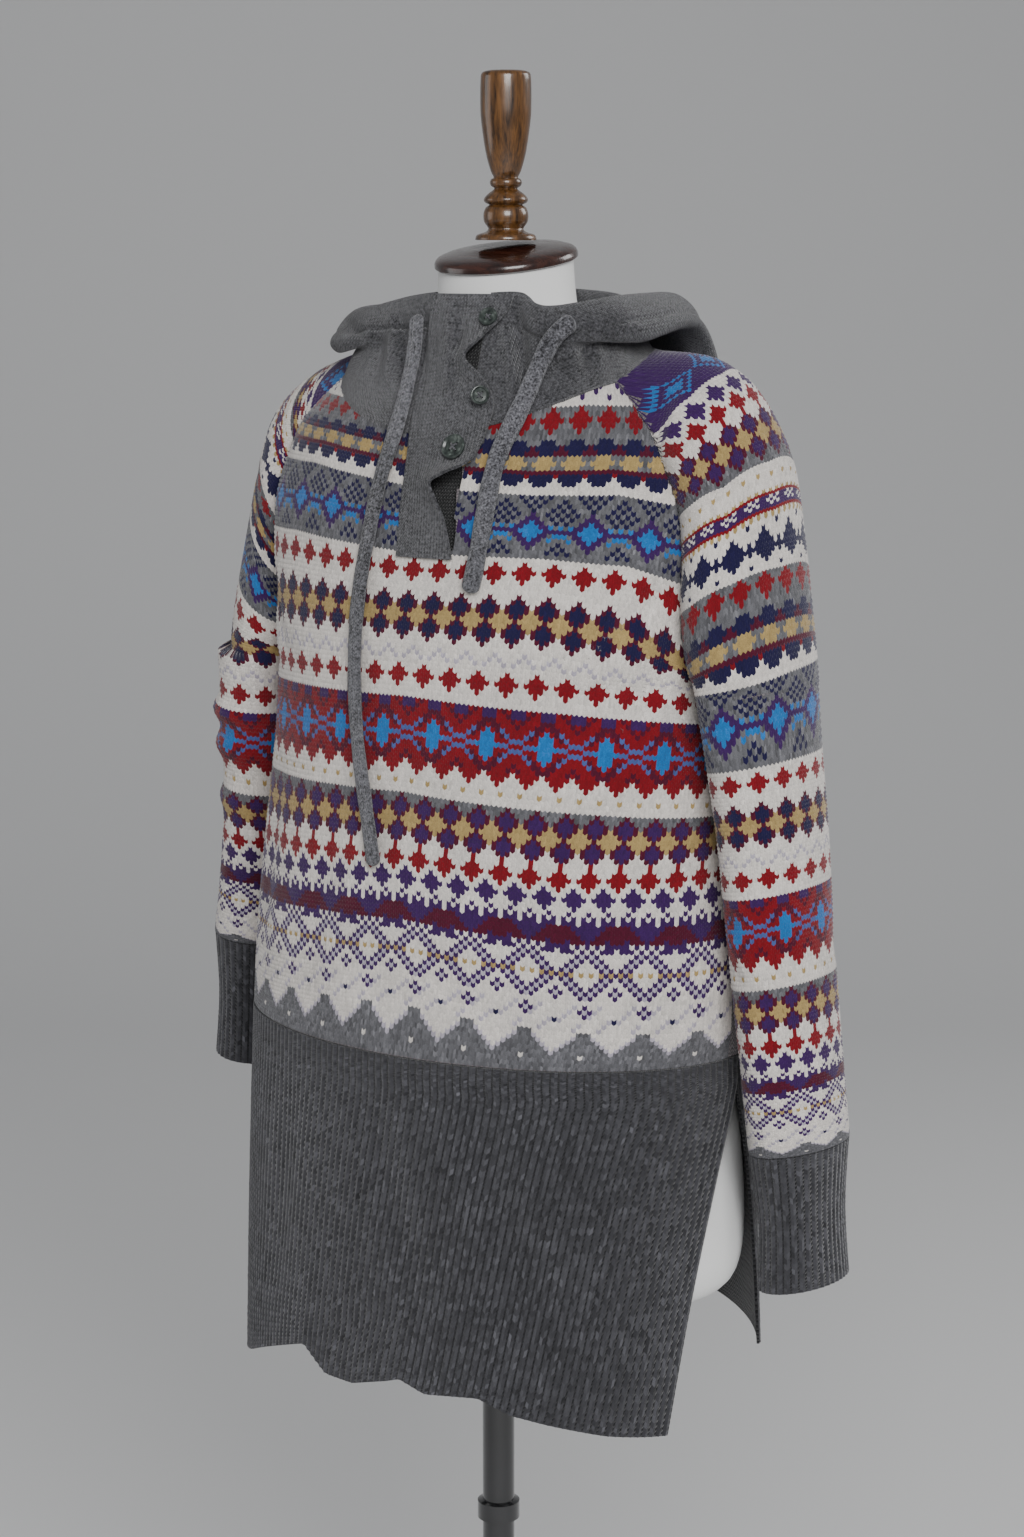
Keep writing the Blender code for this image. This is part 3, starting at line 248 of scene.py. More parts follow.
# ---------------------------------------------------------------- shader maths
class Shade:
    """One value in a material's node tree. Python operators add the Math nodes."""

    def __init__(self, finish, socket):
        self.finish = finish
        self.socket = socket

    def math(self, operation, other=None):
        """This value and another through one Math node."""
        inputs = {0: self} if other is None else {0: self, 1: other}
        return self.finish.add("ShaderNodeMath", {"operation": operation}, inputs)

    def __add__(self, other):
        return self.math("ADD", other)

    def __sub__(self, other):
        return self.math("SUBTRACT", other)

    def __mul__(self, other):
        return self.math("MULTIPLY", other)

    def __pow__(self, other):
        return self.math("POWER", other)

    def __abs__(self):
        return self.math("ABSOLUTE")


class Finish:
    """A material in the making, with its Principled shader."""

    def __init__(self, name, **constants):
        self.material = bpy.data.materials.new(name)
        self.material.use_nodes = True
        self.tree = self.material.node_tree
        self.shader = self.tree.nodes["Principled BSDF"]
        for label, value in constants.items():
            self.shader.inputs[label.replace("_", " ")].default_value = value

    def add(self, kind, settings=None, inputs=None, output=0):
        """Adds a node: its settings first, then its sockets' values or links."""
        node = self.tree.nodes.new(kind)
        for label, value in (settings or {}).items():
            if label == "stops":
                self.set_stops(node.color_ramp, value)
            else:
                setattr(node, label, value)
        for label, value in (inputs or {}).items():
            self.feed(node.inputs[label], value)
        return Shade(self, node.outputs[output])

    def feed(self, socket, value):
        """Links a value to a socket, or sets it there."""
        if isinstance(value, Shade):
            self.tree.links.new(value.socket, socket)
        else:
            socket.default_value = value

    def set_stops(self, ramp, stops):
        """Gives a colour ramp its stops of (place, colour)."""
        while len(ramp.elements) < len(stops):
            ramp.elements.new(1.0)
        for element, (place, colour) in zip(ramp.elements, stops):
            element.position = place
            element.color = (*colour, 1.0)

    def place(self):
        """Object coordinates."""
        return self.add("ShaderNodeTexCoord", output="Object")

    def noise(self, scale, detail=2.0, where=None, roughness=0.55):
        """Soft random value, one scale of grain."""
        inputs = {"Vector": where or self.place(), "Scale": scale, "Detail": detail, "Roughness": roughness}
        return self.add("ShaderNodeTexNoise", None, inputs, "Fac")

    def stretched(self, scale):
        """Object coordinates scaled along each axis."""
        return self.add("ShaderNodeMapping", None, {"Vector": self.place(), "Scale": scale})

    def ramp(self, value, stops):
        """Colour by value."""
        return self.add("ShaderNodeValToRGB", {"stops": stops}, {"Fac": value}, "Color")

    def mix(self, share, first, second, blend="MIX"):
        """Two colours through one Mix node; 6 and 7 are its colour sockets."""
        settings = {"data_type": "RGBA", "blend_type": blend}
        colours = [(*c, 1.0) if isinstance(c, tuple) and len(c) == 3 else c for c in (first, second)]
        return self.add("ShaderNodeMix", settings, {0: share, 6: colours[0], 7: colours[1]}, 2)

    def bump(self, height, distance, strength=1.0):
        """Height in its own units to the shader's normal."""
        inputs = {"Height": height, "Distance": distance, "Strength": strength}
        self.feed(self.shader.inputs["Normal"], self.add("ShaderNodeBump", None, inputs))

    def colour(self, value):
        """Feeds the base colour."""
        self.feed(self.shader.inputs["Base Color"], value)

    def roughness(self, value):
        """Feeds the roughness."""
        self.feed(self.shader.inputs["Roughness"], value)

    def uv(self, name):
        """The two numbers of a named UV map."""
        both = self.add("ShaderNodeUVMap", {"uv_map": name})
        parts = self.add("ShaderNodeSeparateXYZ", None, {"Vector": both})
        node = parts.socket.node
        return Shade(self, node.outputs[0]), Shade(self, node.outputs[1])


WOOL = {"Roughness": 0.92, "Sheen Weight": 0.35, "Sheen Roughness": 0.45, "Specular IOR Level": 0.25}


def wool(name):
    """A matt woollen finish with a soft sheen."""
    finish = Finish(name)
    for label, value in WOOL.items():
        finish.shader.inputs[label].default_value = value
    return finish


def yarn_finish():
    """Spun yarn in the colour that each stitch carries, flecked by its fibres."""
    finish = wool("fair_isle_yarn")
    dye = finish.add("ShaderNodeAttribute", {"attribute_name": "yarn"}, None, "Color")
    fleck = finish.noise(1500.0, 3.0)
    cloud = finish.noise(22.0, 2.0)
    light = finish.ramp(fleck * 0.75 + cloud * 0.25, [(0.30, (0.72, 0.72, 0.72)), (0.70, (1.22, 1.22, 1.22))])
    finish.colour(finish.mix(1.0, dye, light, "MULTIPLY"))
    finish.bump(fleck, 0.0006, 0.55)
    return finish.material


def knit_height(finish, u, v):
    """Height of V-shaped stitches over UV counted in columns and rows."""
    across = u.math("FRACT")
    lean = abs(across - 0.5) * 1.6
    slope = (v + lean).math("FRACT")
    round_leg = (slope * math.pi).math("SINE")
    groove = (abs(across - 0.5) * 2 * math.pi).math("SINE") ** 0.5
    return round_leg * 0.55 + groove * 0.45


def grey_knit_finish(name, dark, light, relief):
    """Heather grey jersey: V stitches in a marled yarn, with painted shade in the grooves between the legs.
    """
    finish = wool(name)
    u, v = finish.uv("Knit")
    height = knit_height(finish, u, v)
    marl = finish.noise(460.0, 3.0, roughness=0.75)
    cloud = finish.noise(16.0, 2.0)
    base = finish.ramp(marl * 0.8 + cloud * 0.2, [(0.38, dark), (0.64, light)])
    # Painted shade: the colour darkens where the stitches are low, in the grooves, and lightens a little on
    # their crowns.
    shade = finish.ramp(height, [(0.05, (0.42, 0.42, 0.42)), (0.75, (1.08, 1.08, 1.08))])
    finish.colour(finish.mix(1.0, base, shade, "MULTIPLY"))
    finish.bump(height + marl * 0.25, relief, 0.9)
    return finish.material


def purl_finish(name, dark, light):
    """Inner side of the cloth and the furrows between ribs: purl loops, with painted shade between them."""
    finish = wool(name)
    u, v = finish.uv("Knit")
    loop = ((u * 2 * math.pi).math("SINE") * 0.18 + v).math("FRACT")
    height = (loop * math.pi).math("SINE")
    marl = finish.noise(620.0, 3.0)
    base = finish.ramp(marl, [(0.35, dark), (0.65, light)])
    # Painted shade: the colour darkens between the loops, where they are low.
    shade = finish.ramp(height, [(0.05, (0.35, 0.35, 0.35)), (0.8, (1.0, 1.0, 1.0))])
    finish.colour(finish.mix(1.0, base, shade, "MULTIPLY"))
    finish.bump(height, 0.0012, 0.8)
    return finish.material


def form_finish():
    """White jersey cover of the dress form."""
    finish = Finish("form_cover", Roughness=0.75, Sheen_Weight=0.15, Specular_IOR_Level=0.3)
    fine = finish.noise(1400.0, 2.0)
    broad = finish.noise(9.0, 2.0)
    weave = fine * 0.4 + broad * 0.6
    finish.colour(finish.ramp(weave, [(0.3, srgb(238, 238, 237)), (0.7, srgb(252, 252, 250))]))
    finish.bump(fine, 0.0003, 0.35)
    return finish.material


def wood_finish(name, dark, light, roughness, stretch):
    """Stained and varnished wood with grain along its length."""
    finish = Finish(name, Roughness=roughness, Coat_Weight=0.6, Coat_Roughness=0.12)
    grain = finish.noise(1.0, 5.0, finish.stretched(stretch), 0.65)
    pores = finish.noise(3.4, 3.0, finish.stretched(stretch))
    finish.colour(finish.ramp(grain * 0.7 + pores * 0.3, [(0.36, dark), (0.62, light)]))
    finish.roughness(grain * 0.25 + (roughness - 0.1))
    finish.bump(pores, 0.0002, 0.3)
    return finish.material


def metal_finish():
    """Gloss black paint on steel, slightly uneven."""
    finish = Finish("gloss_black", Coat_Weight=0.8, Coat_Roughness=0.06, Metallic=0.0)
    wear = finish.noise(35.0, 3.0)
    finish.colour(finish.ramp(wear, [(0.35, (0.006, 0.006, 0.007)), (0.7, (0.016, 0.016, 0.018))]))
    finish.roughness(wear * 0.16 + 0.14)
    return finish.material


def button_finish():
    """Dark grey-green horn-like resin with pale clouds."""
    finish = Finish("button_resin", Coat_Weight=0.35, Coat_Roughness=0.2)
    cloud = finish.noise(260.0, 4.0)
    stops = [(0.32, srgb(26, 32, 30)), (0.56, srgb(56, 64, 60)), (0.74, srgb(112, 120, 114))]
    finish.colour(finish.ramp(cloud, stops))
    finish.roughness(cloud * 0.2 + 0.25)
    return finish.material


# ---------------------------------------------------------------- meshes
def new_piece(name, points, faces, material, rides=True):
    """Adds one smooth mesh of triangles or of quads, which rides on the part's body."""
    mesh = bpy.data.meshes.new(name)
    points = np.asarray(points, dtype=np.float32).reshape(-1, 3)
    faces = np.asarray(faces, dtype=np.int32)
    size = faces.shape[1]
    mesh.vertices.add(len(points))
    mesh.vertices.foreach_set("co", points.ravel())
    mesh.loops.add(faces.size)
    mesh.loops.foreach_set("vertex_index", faces.ravel())
    mesh.polygons.add(len(faces))
    mesh.polygons.foreach_set("loop_start", np.arange(0, faces.size, size, dtype=np.int32))
    mesh.update(calc_edges=True)
    mesh.shade_smooth()
    mesh.materials.append(material)
    piece = bpy.data.objects.new(name, mesh)
    bpy.context.collection.objects.link(piece)
    if rides:
        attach(piece, "root")
    return piece


def set_uv(piece, name, values):
    """Gives a piece a UV map from one pair of numbers for each point."""
    layer = piece.data.uv_layers.new(name=name)
    loops = np.empty(len(piece.data.loops), dtype=np.int32)
    piece.data.loops.foreach_get("vertex_index", loops)
    layer.data.foreach_set("uv", np.asarray(values, dtype=np.float32).reshape(-1, 2)[loops].ravel())


def curve_rows(table, t):
    """Reads a table between its rows on a smooth curve, for a whole array of row numbers."""
    table = np.asarray(table, dtype=float)
    t = np.asarray(t, dtype=float)
    last = len(table) - 1
    i = np.clip(np.floor(t).astype(int), 0, last - 1)
    f = (t - i).reshape(t.shape + (1,) * (table.ndim - 1))
    a, b, c, d = (table[np.clip(k, 0, last)] for k in (i - 1, i, i + 1, i + 2))
    bend = (2 * a - 5 * b + 4 * c - d) * f ** 2
    return 0.5 * (2 * b + (c - a) * f + bend + (3 * b - a - 3 * c + d) * f ** 3)


def unit(vectors):
    """Vectors of length 1."""
    return vectors / np.maximum(np.linalg.norm(vectors, axis=-1, keepdims=True), 1e-12)


def normals_of(points, closed=False):
    """Direction across times direction down at each point of a grid."""
    if closed:
        across = np.roll(points, -1, axis=1) - np.roll(points, 1, axis=1)
    else:
        across = np.gradient(points, axis=1)
    return unit(np.cross(across, np.gradient(points, axis=0)))


# Soft creases: one end, other end (x, y, z), width, depth. A negative depth is a ridge.
FRONT_FOLDS = metres(10000, [
    ((1730, -450, 12320), (1360, -920, 11780), 100, 40),
    ((1770, -360, 11960), (1500, -800, 11180), 120, 34),
    ((1600, -600, 12150), (1280, -980, 11500), 90, -22),
    ((-1700, -480, 12200), (-1400, -880, 11650), 110, 34),
    ((1480, -840, 10600), (1680, -760, 9250), 170, 36), ((820, -1140, 10200), (980, -1160, 9200), 200, 30),
    ((-600, -1160, 10850), (-920, -1200, 9300), 180, 26),
    ((-1450, -800, 10700), (-1620, -780, 9400), 150, 30),
    ((200, -1210, 11300), (-300, -1250, 10400), 140, 18),
])
BACK_FOLDS = metres(10000, [
    ((1700, 550, 12500), (1300, 980, 11700), 120, 38), ((-1680, 600, 12400), (-1250, 1000, 11500), 130, 34),
    ((600, 1100, 11400), (850, 1120, 9400), 200, 36), ((-700, 1060, 11100), (-500, 1220, 9600), 170, 30),
    ((1450, 800, 10500), (1600, 820, 9300), 150, 30),
])
SLEEVE_FOLDS = metres(10000, [
    ((2000, -500, 11850), (2460, -540, 11200), 110, 34), ((2160, -540, 10000), (2720, -340, 9720), 95, 34),
    ((2140, -500, 9660), (2680, -420, 9380), 100, 30), ((2260, -440, 8900), (2860, -200, 8660), 80, 22),
    ((2220, 500, 10100), (2720, 360, 9680), 110, 34), ((-2050, 0, 11800), (-2500, -100, 11300), 110, 30),
    ((-2300, 0, 9600), (-2850, 300, 9350), 90, 26), ((-2250, 900, 10600), (-2750, 750, 10200), 110, 30),
])
HEM_FOLDS = metres(10000, [
    ((700, -1340, 8500), (1100, -1240, 7000), 170, 34), ((-200, -1420, 8400), (200, -1460, 7200), 150, 28),
    ((-1100, -1180, 8300), (-1250, -1180, 6900), 160, 36),
    ((200, -1440, 7000), (-500, -1440, 6650), 120, 24), ((900, 1340, 8400), (600, 1500, 7000), 180, 36),
    ((-1000, 1300, 8500), (-1200, 1300, 7100), 170, 32),
])


def pressed(points, normals, folds):
    """Points moved in or out along soft creases that fade towards their ends."""
    moved = np.zeros(points.shape[:2])
    for start, end, width, depth in folds:
        a, b = np.array(start), np.array(end)
        along = np.clip(((points - a) @ (b - a)) / np.dot(b - a, b - a), 0, 1)
        away = np.linalg.norm(points - (a + along[..., None] * (b - a)), axis=2)
        moved -= depth * np.exp(-(away / width) ** 2) * np.sin(np.pi * (0.12 + 0.76 * along)) ** 0.7
    return points + normals * moved[..., None]


PANEL_STEPS = 193        # places across a panel's table
FLATTENED = np.array([0.3, 1.0, 0.0])   # the way out of a flat body, from its middle


class Panel:
    """A stretch of cloth: places over t, which runs down it, and q, -1 to 1 across it by length of cloth."""

    def __init__(self, points, t_values, outwards, closed_from=None):
        self.t_values = np.asarray(t_values, dtype=float)
        count = points.shape[1]
        middle = count // 2
        steps = np.linalg.norm(np.diff(points, axis=1), axis=2)
        arcs = np.concatenate([np.zeros((len(points), 1)), np.cumsum(steps, axis=1)], axis=1)
        arcs -= arcs[:, middle:middle + 1]
        self.left = -arcs[:, 0]
        self.right = arcs[:, -1]
        self.q_values = np.linspace(-1, 1, PANEL_STEPS)
        table = np.empty((len(points), len(self.q_values), 3))
        for i in range(len(points)):
            want = np.where(self.q_values < 0, self.q_values * self.left[i], self.q_values * self.right[i])
            for axis in range(3):
                table[i, :, axis] = np.interp(want, arcs[i], points[i, :, axis])
        self.points = table
        normals = normals_of(table)
        if closed_from is not None:
            ring = slice(closed_from, None)
            whole = table[ring, :-1]
            normals[ring] = np.concatenate([normals_of(whole, True), normals_of(whole, True)[:, :1]], axis=1)
        flip = np.sign(np.sum(normals * (table - outwards(table)), axis=2, keepdims=True).mean())
        self.normals = normals * flip

    def length(self, t, sign):
        """Cloth length from the middle to the edge on one side."""
        left = np.interp(t, self.t_values, self.left)
        right = np.interp(t, self.t_values, self.right)
        return np.where(sign < 0, left, right)

    def at(self, t, q):
        """Places and outward directions."""
        steps = np.arange(len(self.t_values))
        i = np.clip(np.interp(t, self.t_values, steps), 0, len(steps) - 1.0001)
        k = np.clip((np.asarray(q) + 1) / 2 * (len(self.q_values) - 1), 0, len(self.q_values) - 1.0001)
        i0, k0 = i.astype(int), k.astype(int)
        down, across = (i - i0)[..., None], (k - k0)[..., None]
        result = []
        for table in (self.points, self.normals):
            low = table[i0, k0] * (1 - across) + table[i0, k0 + 1] * across
            high = table[i0 + 1, k0] * (1 - across) + table[i0 + 1, k0 + 1] * across
            result.append(low * (1 - down) + high * down)
        return result[0], unit(result[1])


def folded_panel(points, t_values, folds):
    """A front or back panel with its creases pressed in."""
    points = pressed(points, unit(points * FLATTENED), folds)
    return Panel(points, t_values, lambda table: table * np.array([0.3, 0.0, 1.0]))


def body_panel(table, facing):
    """The front (facing -1) or the back (facing 1) as a panel."""
    t_values = np.linspace(0, BODY_END, 241)
    rows = curve_rows(table, t_values)
    side_z, side_x, side_y, mid_z, depth = (rows[:, k:k + 1] for k in range(5))
    side_angle = np.arccos(np.minimum(np.abs(side_y) / depth, 1.0))
    half_width = side_x / np.sin(side_angle)
    angle = side_angle * np.linspace(-1, 1, 161)[None, :]
    share = np.sin(angle) / np.sin(side_angle)
    points = np.stack([half_width * np.sin(angle), facing * depth * np.cos(angle),
                       mid_z + (side_z - mid_z) * share * share], axis=2)
    return folded_panel(points, t_values, FRONT_FOLDS if facing < 0 else BACK_FOLDS)


def half_section(side_x, side_y, depth):
    """Oval through a side point and the middle: its half width and the angle of the side point."""
    angle = math.acos(min(abs(side_y) / depth, 1.0))
    return side_x / math.sin(angle), angle


def ring_opening(t, half, half_depth):
    """How far a raglan ring wraps to each side of its top."""
    wide = math.pi - math.asin(min(half / half_depth, 1.0))
    return min(NECK_OPENING + (wide - NECK_OPENING) * t / 2, wide)


def raglan_ring(t, right, angles):
    """One ring of the sleeve above the underarm. angles run from -1 to 1."""
    front, back = curve_rows(FRONT, t), curve_rows(BACK, t)
    f = np.array((front[1], front[2], front[0]))
    b = np.array((back[1], back[2], back[0]))
    x, y, z, half_depth = curve_rows(SHOULDER, t)
    y += RIGHT_SWING * right * min(1.0, (t / 4) ** 1.6)
    top = np.array((x, y, z - RIGHT_SHOULDER_DROP * right * math.sin(math.pi * min(t, 5) / 5)))
    middle, chord = (f + b) / 2, (b - f) / 2
    half = np.linalg.norm(chord)
    full, along, reach = math.pi, np.array((0.0, 1.0, 0.0)), half_depth
    if t < UNDERARM:
        full = ring_opening(t, half, half_depth)
        along = chord / half
        reach = half / math.sin(full)
    out = (top - middle) / (1 - math.cos(full))
    angle = full * angles[:, None]
    return top - out + out * np.cos(angle) + along * reach * np.sin(angle)


def sleeve_ring(row, right, angles):
    """One closed ring of the sleeve. The right sleeve hangs further back and is pushed up."""
    z, x, half_width, half_depth = row
    top, wrist = SLEEVE[0][0], SLEEVE[-1][0]
    swing = RIGHT_SWING * right * min(1.0, 0.55 + (top - z) * 3)
    middle_swing = RIGHT_SWING * right * min(1.0, (top - z) * 4)
    bulge = 0.0
    if right:
        bulge = sum(size * math.exp(-((z - height) / SLACK_FOLD_WIDTH) ** 2) for height, size in SLACK_FOLDS)
        z = top - (top - z) * RIGHT_SHORT if z > wrist else top - (top - wrist) * RIGHT_SHORT - (wrist - z)
    angle = math.pi * angles
    outer = (1 + np.cos(angle)) / 2
    return np.stack([x + half_width * np.cos(angle) + bulge * outer,
                     (half_depth + bulge) * np.sin(angle) + middle_swing + (swing - middle_swing) * outer,
                     z + SLEEVE_TILT * half_width * (np.cos(angle) + 1) + SLEEVE_LIFT], axis=1)


def sleeve_panel(side):
    """One sleeve as a panel: t 0 to 7 down the raglan, 7 to 13 from the underarm to the wrist."""
    right = side < 0
    angles = np.linspace(-1, 1, 121)
    t_values = np.linspace(0, WRIST, 391)
    rings = []
    for t in t_values:
        if t <= UNDERARM:
            rings.append(raglan_ring(t, right, angles))
        else:
            rings.append(sleeve_ring(curve_rows(SLEEVE, t - UNDERARM), right, angles))
    points = np.array(rings)
    points[:, :, 0] *= side
    points = pressed(points, unit(points - points.mean(axis=1, keepdims=True)), SLEEVE_FOLDS)
    closed_from = int(np.searchsorted(t_values, UNDERARM + 0.01))
    return Panel(points, t_values, lambda table: table.mean(axis=1, keepdims=True), closed_from)


# ---------------------------------------------------------------- the charts, counted down from row 0
def diamond(row, col, half):
    """True inside a charted diamond."""
    return abs(row) + abs(col) <= half


# One repeat of a band, a word for each row and a letter for each yarn
BIG_DIAMOND = "wwwbww wwbnbw wbnnnb tbnnnb ttbnbt tttbtt ttbnbt tbnnnb wbnnnb wwbnbw wwwbww".split()
DOUBLE_BAND = "ggnnng bnnnnn bbnnnb ggtttg gttttt ggtttg bbbbbb rnnnnn wnnnnn wwnnnw".split()
CHECK_TOP = ["pwww", "wpwp", "ppwp"]
# Foot of the checks, from the middle of a repeat outwards
CHECK_FOOT = ["pwpwppp", "wpwpppw"]


def wrapped(col, repeat):
    """Distance from the nearest repeat's centre at column 0."""
    return (col + repeat // 2) % repeat - repeat // 2


def red_band(row, col):
    """Red band with blue diamonds chained by light dashes between dark chevrons; row 0 is its top."""
    near = abs(wrapped(col, 12))
    far = 6 - near
    y = row - 7
    if row >= 13:
        return "w" if abs(wrapped(col, 6)) <= row - 13 else "r"
    if abs(y) <= 3 and near <= (2, 1, 1, 0)[abs(y)]:
        return "u"
    if (abs(y) == 1 and far <= 1) or (y == 0 and far in (2, 3)) or (abs(y) in (2, 3) and far == abs(y)):
        return "l"
    if row <= 1 and (near <= 1 or far <= 1):
        return "p"
    if abs(y) > 1 and abs(y) - far in (-1, 4):
        return "b"
    return "b" if abs(y) - far == 0 and abs(y) > 3 else "r"


def diamond_band(row, col):
    """Purple, burgundy and tan diamonds with red ones hanging from them and a row of purple ones, 20 rows."""
    if row > 14 and diamond(row - 17, wrapped(col + 3, 6), 2):
        return "p"
    if row > 14:
        return "r" if row == 15 and col % 6 == 0 else "w"
    if diamond(row - 13, wrapped(col, 6), 2) or (row > 9 and col % 6 == 0):
        return "r"
    if row > 10:
        return "w"
    yarn = BIG_DIAMOND[row][(col + 3) % 6].replace("n", "p")
    return "g" if yarn == "w" and row <= 3 else yarn


def check_band(row, col):
    """Purple and cream checks above and below a purple and burgundy band, 9 rows."""
    x = abs(wrapped(col, 12))
    if row < 3:
        return CHECK_TOP[row][col % 4]
    if row < 7:
        return "b" if 6 - x <= 1 or 6 - x in (row - 1, row - 2, row - 3) else "p"
    return CHECK_FOOT[row - 7][x]


def lattice_band(row, col):
    """Dotted hexagons with tan hearts, with small flowers and dots below them; row 0 is its top, 17 rows."""
    x, y = abs(wrapped(col, 12)), row - 4
    size = x + abs(y)
    if y == 0 and x in (1, 3, 5):
        return "t"
    if 4 <= size <= 6 and abs(y) < 6:
        return "p" if size != 5 else "f"
    for flower_x, flower_y in ((6, 4), (0, 8)):
        petal = abs(x - flower_x) + abs(y - flower_y)
        if petal <= 1:
            return "p" if petal else "f"
    if y == 10 and x == 6:
        return "n"
    return "f" if y > 6 and (wrapped(col, 12) + y) % 5 == 0 and 0 < x < 6 else "w"


PEAK = (0, 0, 1, 2, 3, 4, 5)    # rows by which the cream reaches down, from the middle of a repeat outwards


def zigzag_band(row, col):
    """Grey peaks that rise into the cream under a dark and white checker, with one white stitch in each."""
    x = abs(wrapped(col, 12))
    depth = row - PEAK[x]
    if depth < 0 or (row == 6 and x == 0):
        return "w"
    if depth == 0:
        return "f" if (x + row) % 2 and x > 1 else "g"
    return "f" if depth == 1 and x > 1 and (x + row) % 2 else "g"


def grey_band(row, col):
    """Heather grey with navy specks and a chain of blue diamonds with purple rims, 15 rows."""
    x, y = abs(wrapped(col + 9, 12)), row - 8
    size = x + abs(y)
    if size <= 2:
        return "u"
    if size <= 4 or (y == 0 and x < 9):
        return "p"
    if (y == 1 and x > 4) or (y == 2 and x == 4) or (y == -1 and x % 2 == 0):
        return "u"
    speck = (wrapped(col, 12) + row) % 2 == 0
    if y < -1:
        return "n" if speck and (row < 4 or 6 - x <= 7 - row) and (row + x) % 5 else "g"
    return "n" if speck and 6 - x <= y - 3 and row < 14 else "g"


def body_chart(row, col):
    """Yarn of a body stitch."""
    if row > 96:
        return zigzag_band(row - 97, col)
    if row > 79:
        return lattice_band(row - 80, col)
    if row > 70:
        return check_band(row - 71, col)
    if row > 50:
        return diamond_band(row - 51, col)
    if row > 46:
        return "t" if row == 48 and col % 4 == 0 else "w"
    if row > 30:
        return red_band(row - 31, col)
    if row >= 0:
        return cream_zone(row, col)
    if row > -16:
        return grey_band(row + 15, col)
    return upper_body(row, col)


def cream_zone(row, col):
    """Rows 0 to 30: red diamonds, navy and tan diamonds, red diamonds, on cream."""
    for centre in (3, 26):
        if diamond(row - centre, wrapped(col + 3, 6), 2):
            return "r"
    if 8 <= row <= 18:
        return BIG_DIAMOND[row - 8][col % 6]
    if 20 <= row <= 22 and abs(wrapped(col, 6)) == row - 20:
        return "f"
    return "w"


def upper_body(row, col):
    """Rows above the grey band, up to the neck."""
    x = abs(wrapped(col + 3, 6))
    if row > -18:
        return "w"
    if row > -28:
        return DOUBLE_BAND[row + 27][col % 6]
    if row > -34:
        return "r" if diamond(row + 31, x, 2) else "g"
    if row > -39:
        return "w" if row == -34 or (x <= row + 38 and (row, x) != (-35, 0)) else "p"
    if row > -44:
        return "u" if diamond(row + 41, abs(wrapped(col, 12)), 2) else "p"
    return "u" if (row + x) % 4 == 0 else "p"


def sleeve_chart(row, col):
    """Yarn of a sleeve stitch: as the body below the boundary, with more bands above it."""
    if row > -34:
        return body_chart(row, col)
    if row > -44:
        near, y = abs(wrapped(col, 8)), abs(row + 39)
        return "n" if near + y <= 3 or 4 - near + y <= 1 or (y == 4 and near == 4) else "w"
    if row > -52:
        kind = row + 51
        if kind in (0, 7):
            return "t" if col % 2 else "w"
        if kind in (1, 6):
            return "r"
        return "w" if (col + kind) % 2 and col % 6 < 4 and kind != 5 else "p"
    if row > -58:
        return "t" if row == -54 and col % 4 == 0 else "w"
    if row > -80:
        return diamond_band(-59 - row, col) if row < -58 else "g"
    near, y = abs(wrapped(col, 12)), row + 86
    if near + abs(y) <= 2:
        return "u"
    return "u" if (near + abs(y)) in (5, 6) and (row + col) % 2 else "p"


# ---------------------------------------------------------------- knit stitches
LOW, HIGH = -0.00040, 0.00050
LEFT_LEG = [(0.0, -0.2, LOW), (0.5, 0.2, LOW), (0.5, 1.2, LOW), (0.0, 0.8, LOW), (0.25, 0.5, HIGH)]
LEG_FACES = [(0, 1, 4), (1, 2, 4), (2, 3, 4), (3, 0, 4)]


def stitch_grid(first_row, end_row, first_col, end_col):
    """Row and column numbers of a whole field of stitches."""
    rows, cols = np.meshgrid(np.arange(first_row, end_row), np.arange(first_col, end_col), indexing="ij")
    return rows.ravel().astype(float), cols.ravel().astype(float)


def knit(name, material, rows, cols, place, yarns, chart_box, heights=(LOW, HIGH), crown=0.0):
    """Knit stitches as one mesh, two legs for each. place(row, col, across) gives points and directions."""
    count = len(rows)
    points, uvs = [], []
    swell = RANDOM.normal(0.0, 0.00007, count)
    wide, tall = chart_box
    for mirrored in (False, True):
        for u, v, height in LEFT_LEG:
            across = 1 - u if mirrored else u
            spot, normal = place(rows + v, cols, across)
            lift = heights[1] + swell if height == HIGH else heights[0]
            lift = lift + crown * (1 - abs(2 * across - 1) ** 1.5)
            points.append(spot + normal * np.broadcast_to(lift, (count,))[:, None])
            level = (v + 0.2 - 0.8 * u) * 0.9 + 0.05
            uvs.append(np.stack([(cols - cols.min() + 0.04 + 0.92 * across) / wide,
                                 1 - (rows - rows.min() + level) / tall], axis=1))
    points = np.stack(points, axis=1)
    faces = []
    for start, order in ((0, 1), (5, -1)):
        faces += [[start + k for k in face[::order]] for face in LEG_FACES]
    faces = np.array(faces)[None] + (np.arange(count) * 10)[:, None, None]
    faces = faces.reshape(-1, 3)
    flat = points.reshape(-1, 3)
    a, b, c = (flat[faces[:800, k]] for k in range(3))
    spot, normal = place(rows[:100] + 0.5, cols[:100], 0.5)
    if np.sum(np.cross(b - a, c - a).reshape(100, 8, 3).mean(axis=1) * normal) < 0:
        faces = faces[:, ::-1]
    piece = new_piece(name, flat, faces, material)
    dye = np.repeat(yarns, len(LEFT_LEG), axis=1).reshape(-1, 3)
    dye = np.concatenate([dye, np.ones((len(dye), 1))], axis=1)
    layer = piece.data.color_attributes.new("yarn", "FLOAT_COLOR", "POINT")
    layer.data.foreach_set("color", dye.astype(np.float32).ravel())
    set_uv(piece, "OFBake", np.stack(uvs, axis=1).reshape(-1, 2))
    return piece


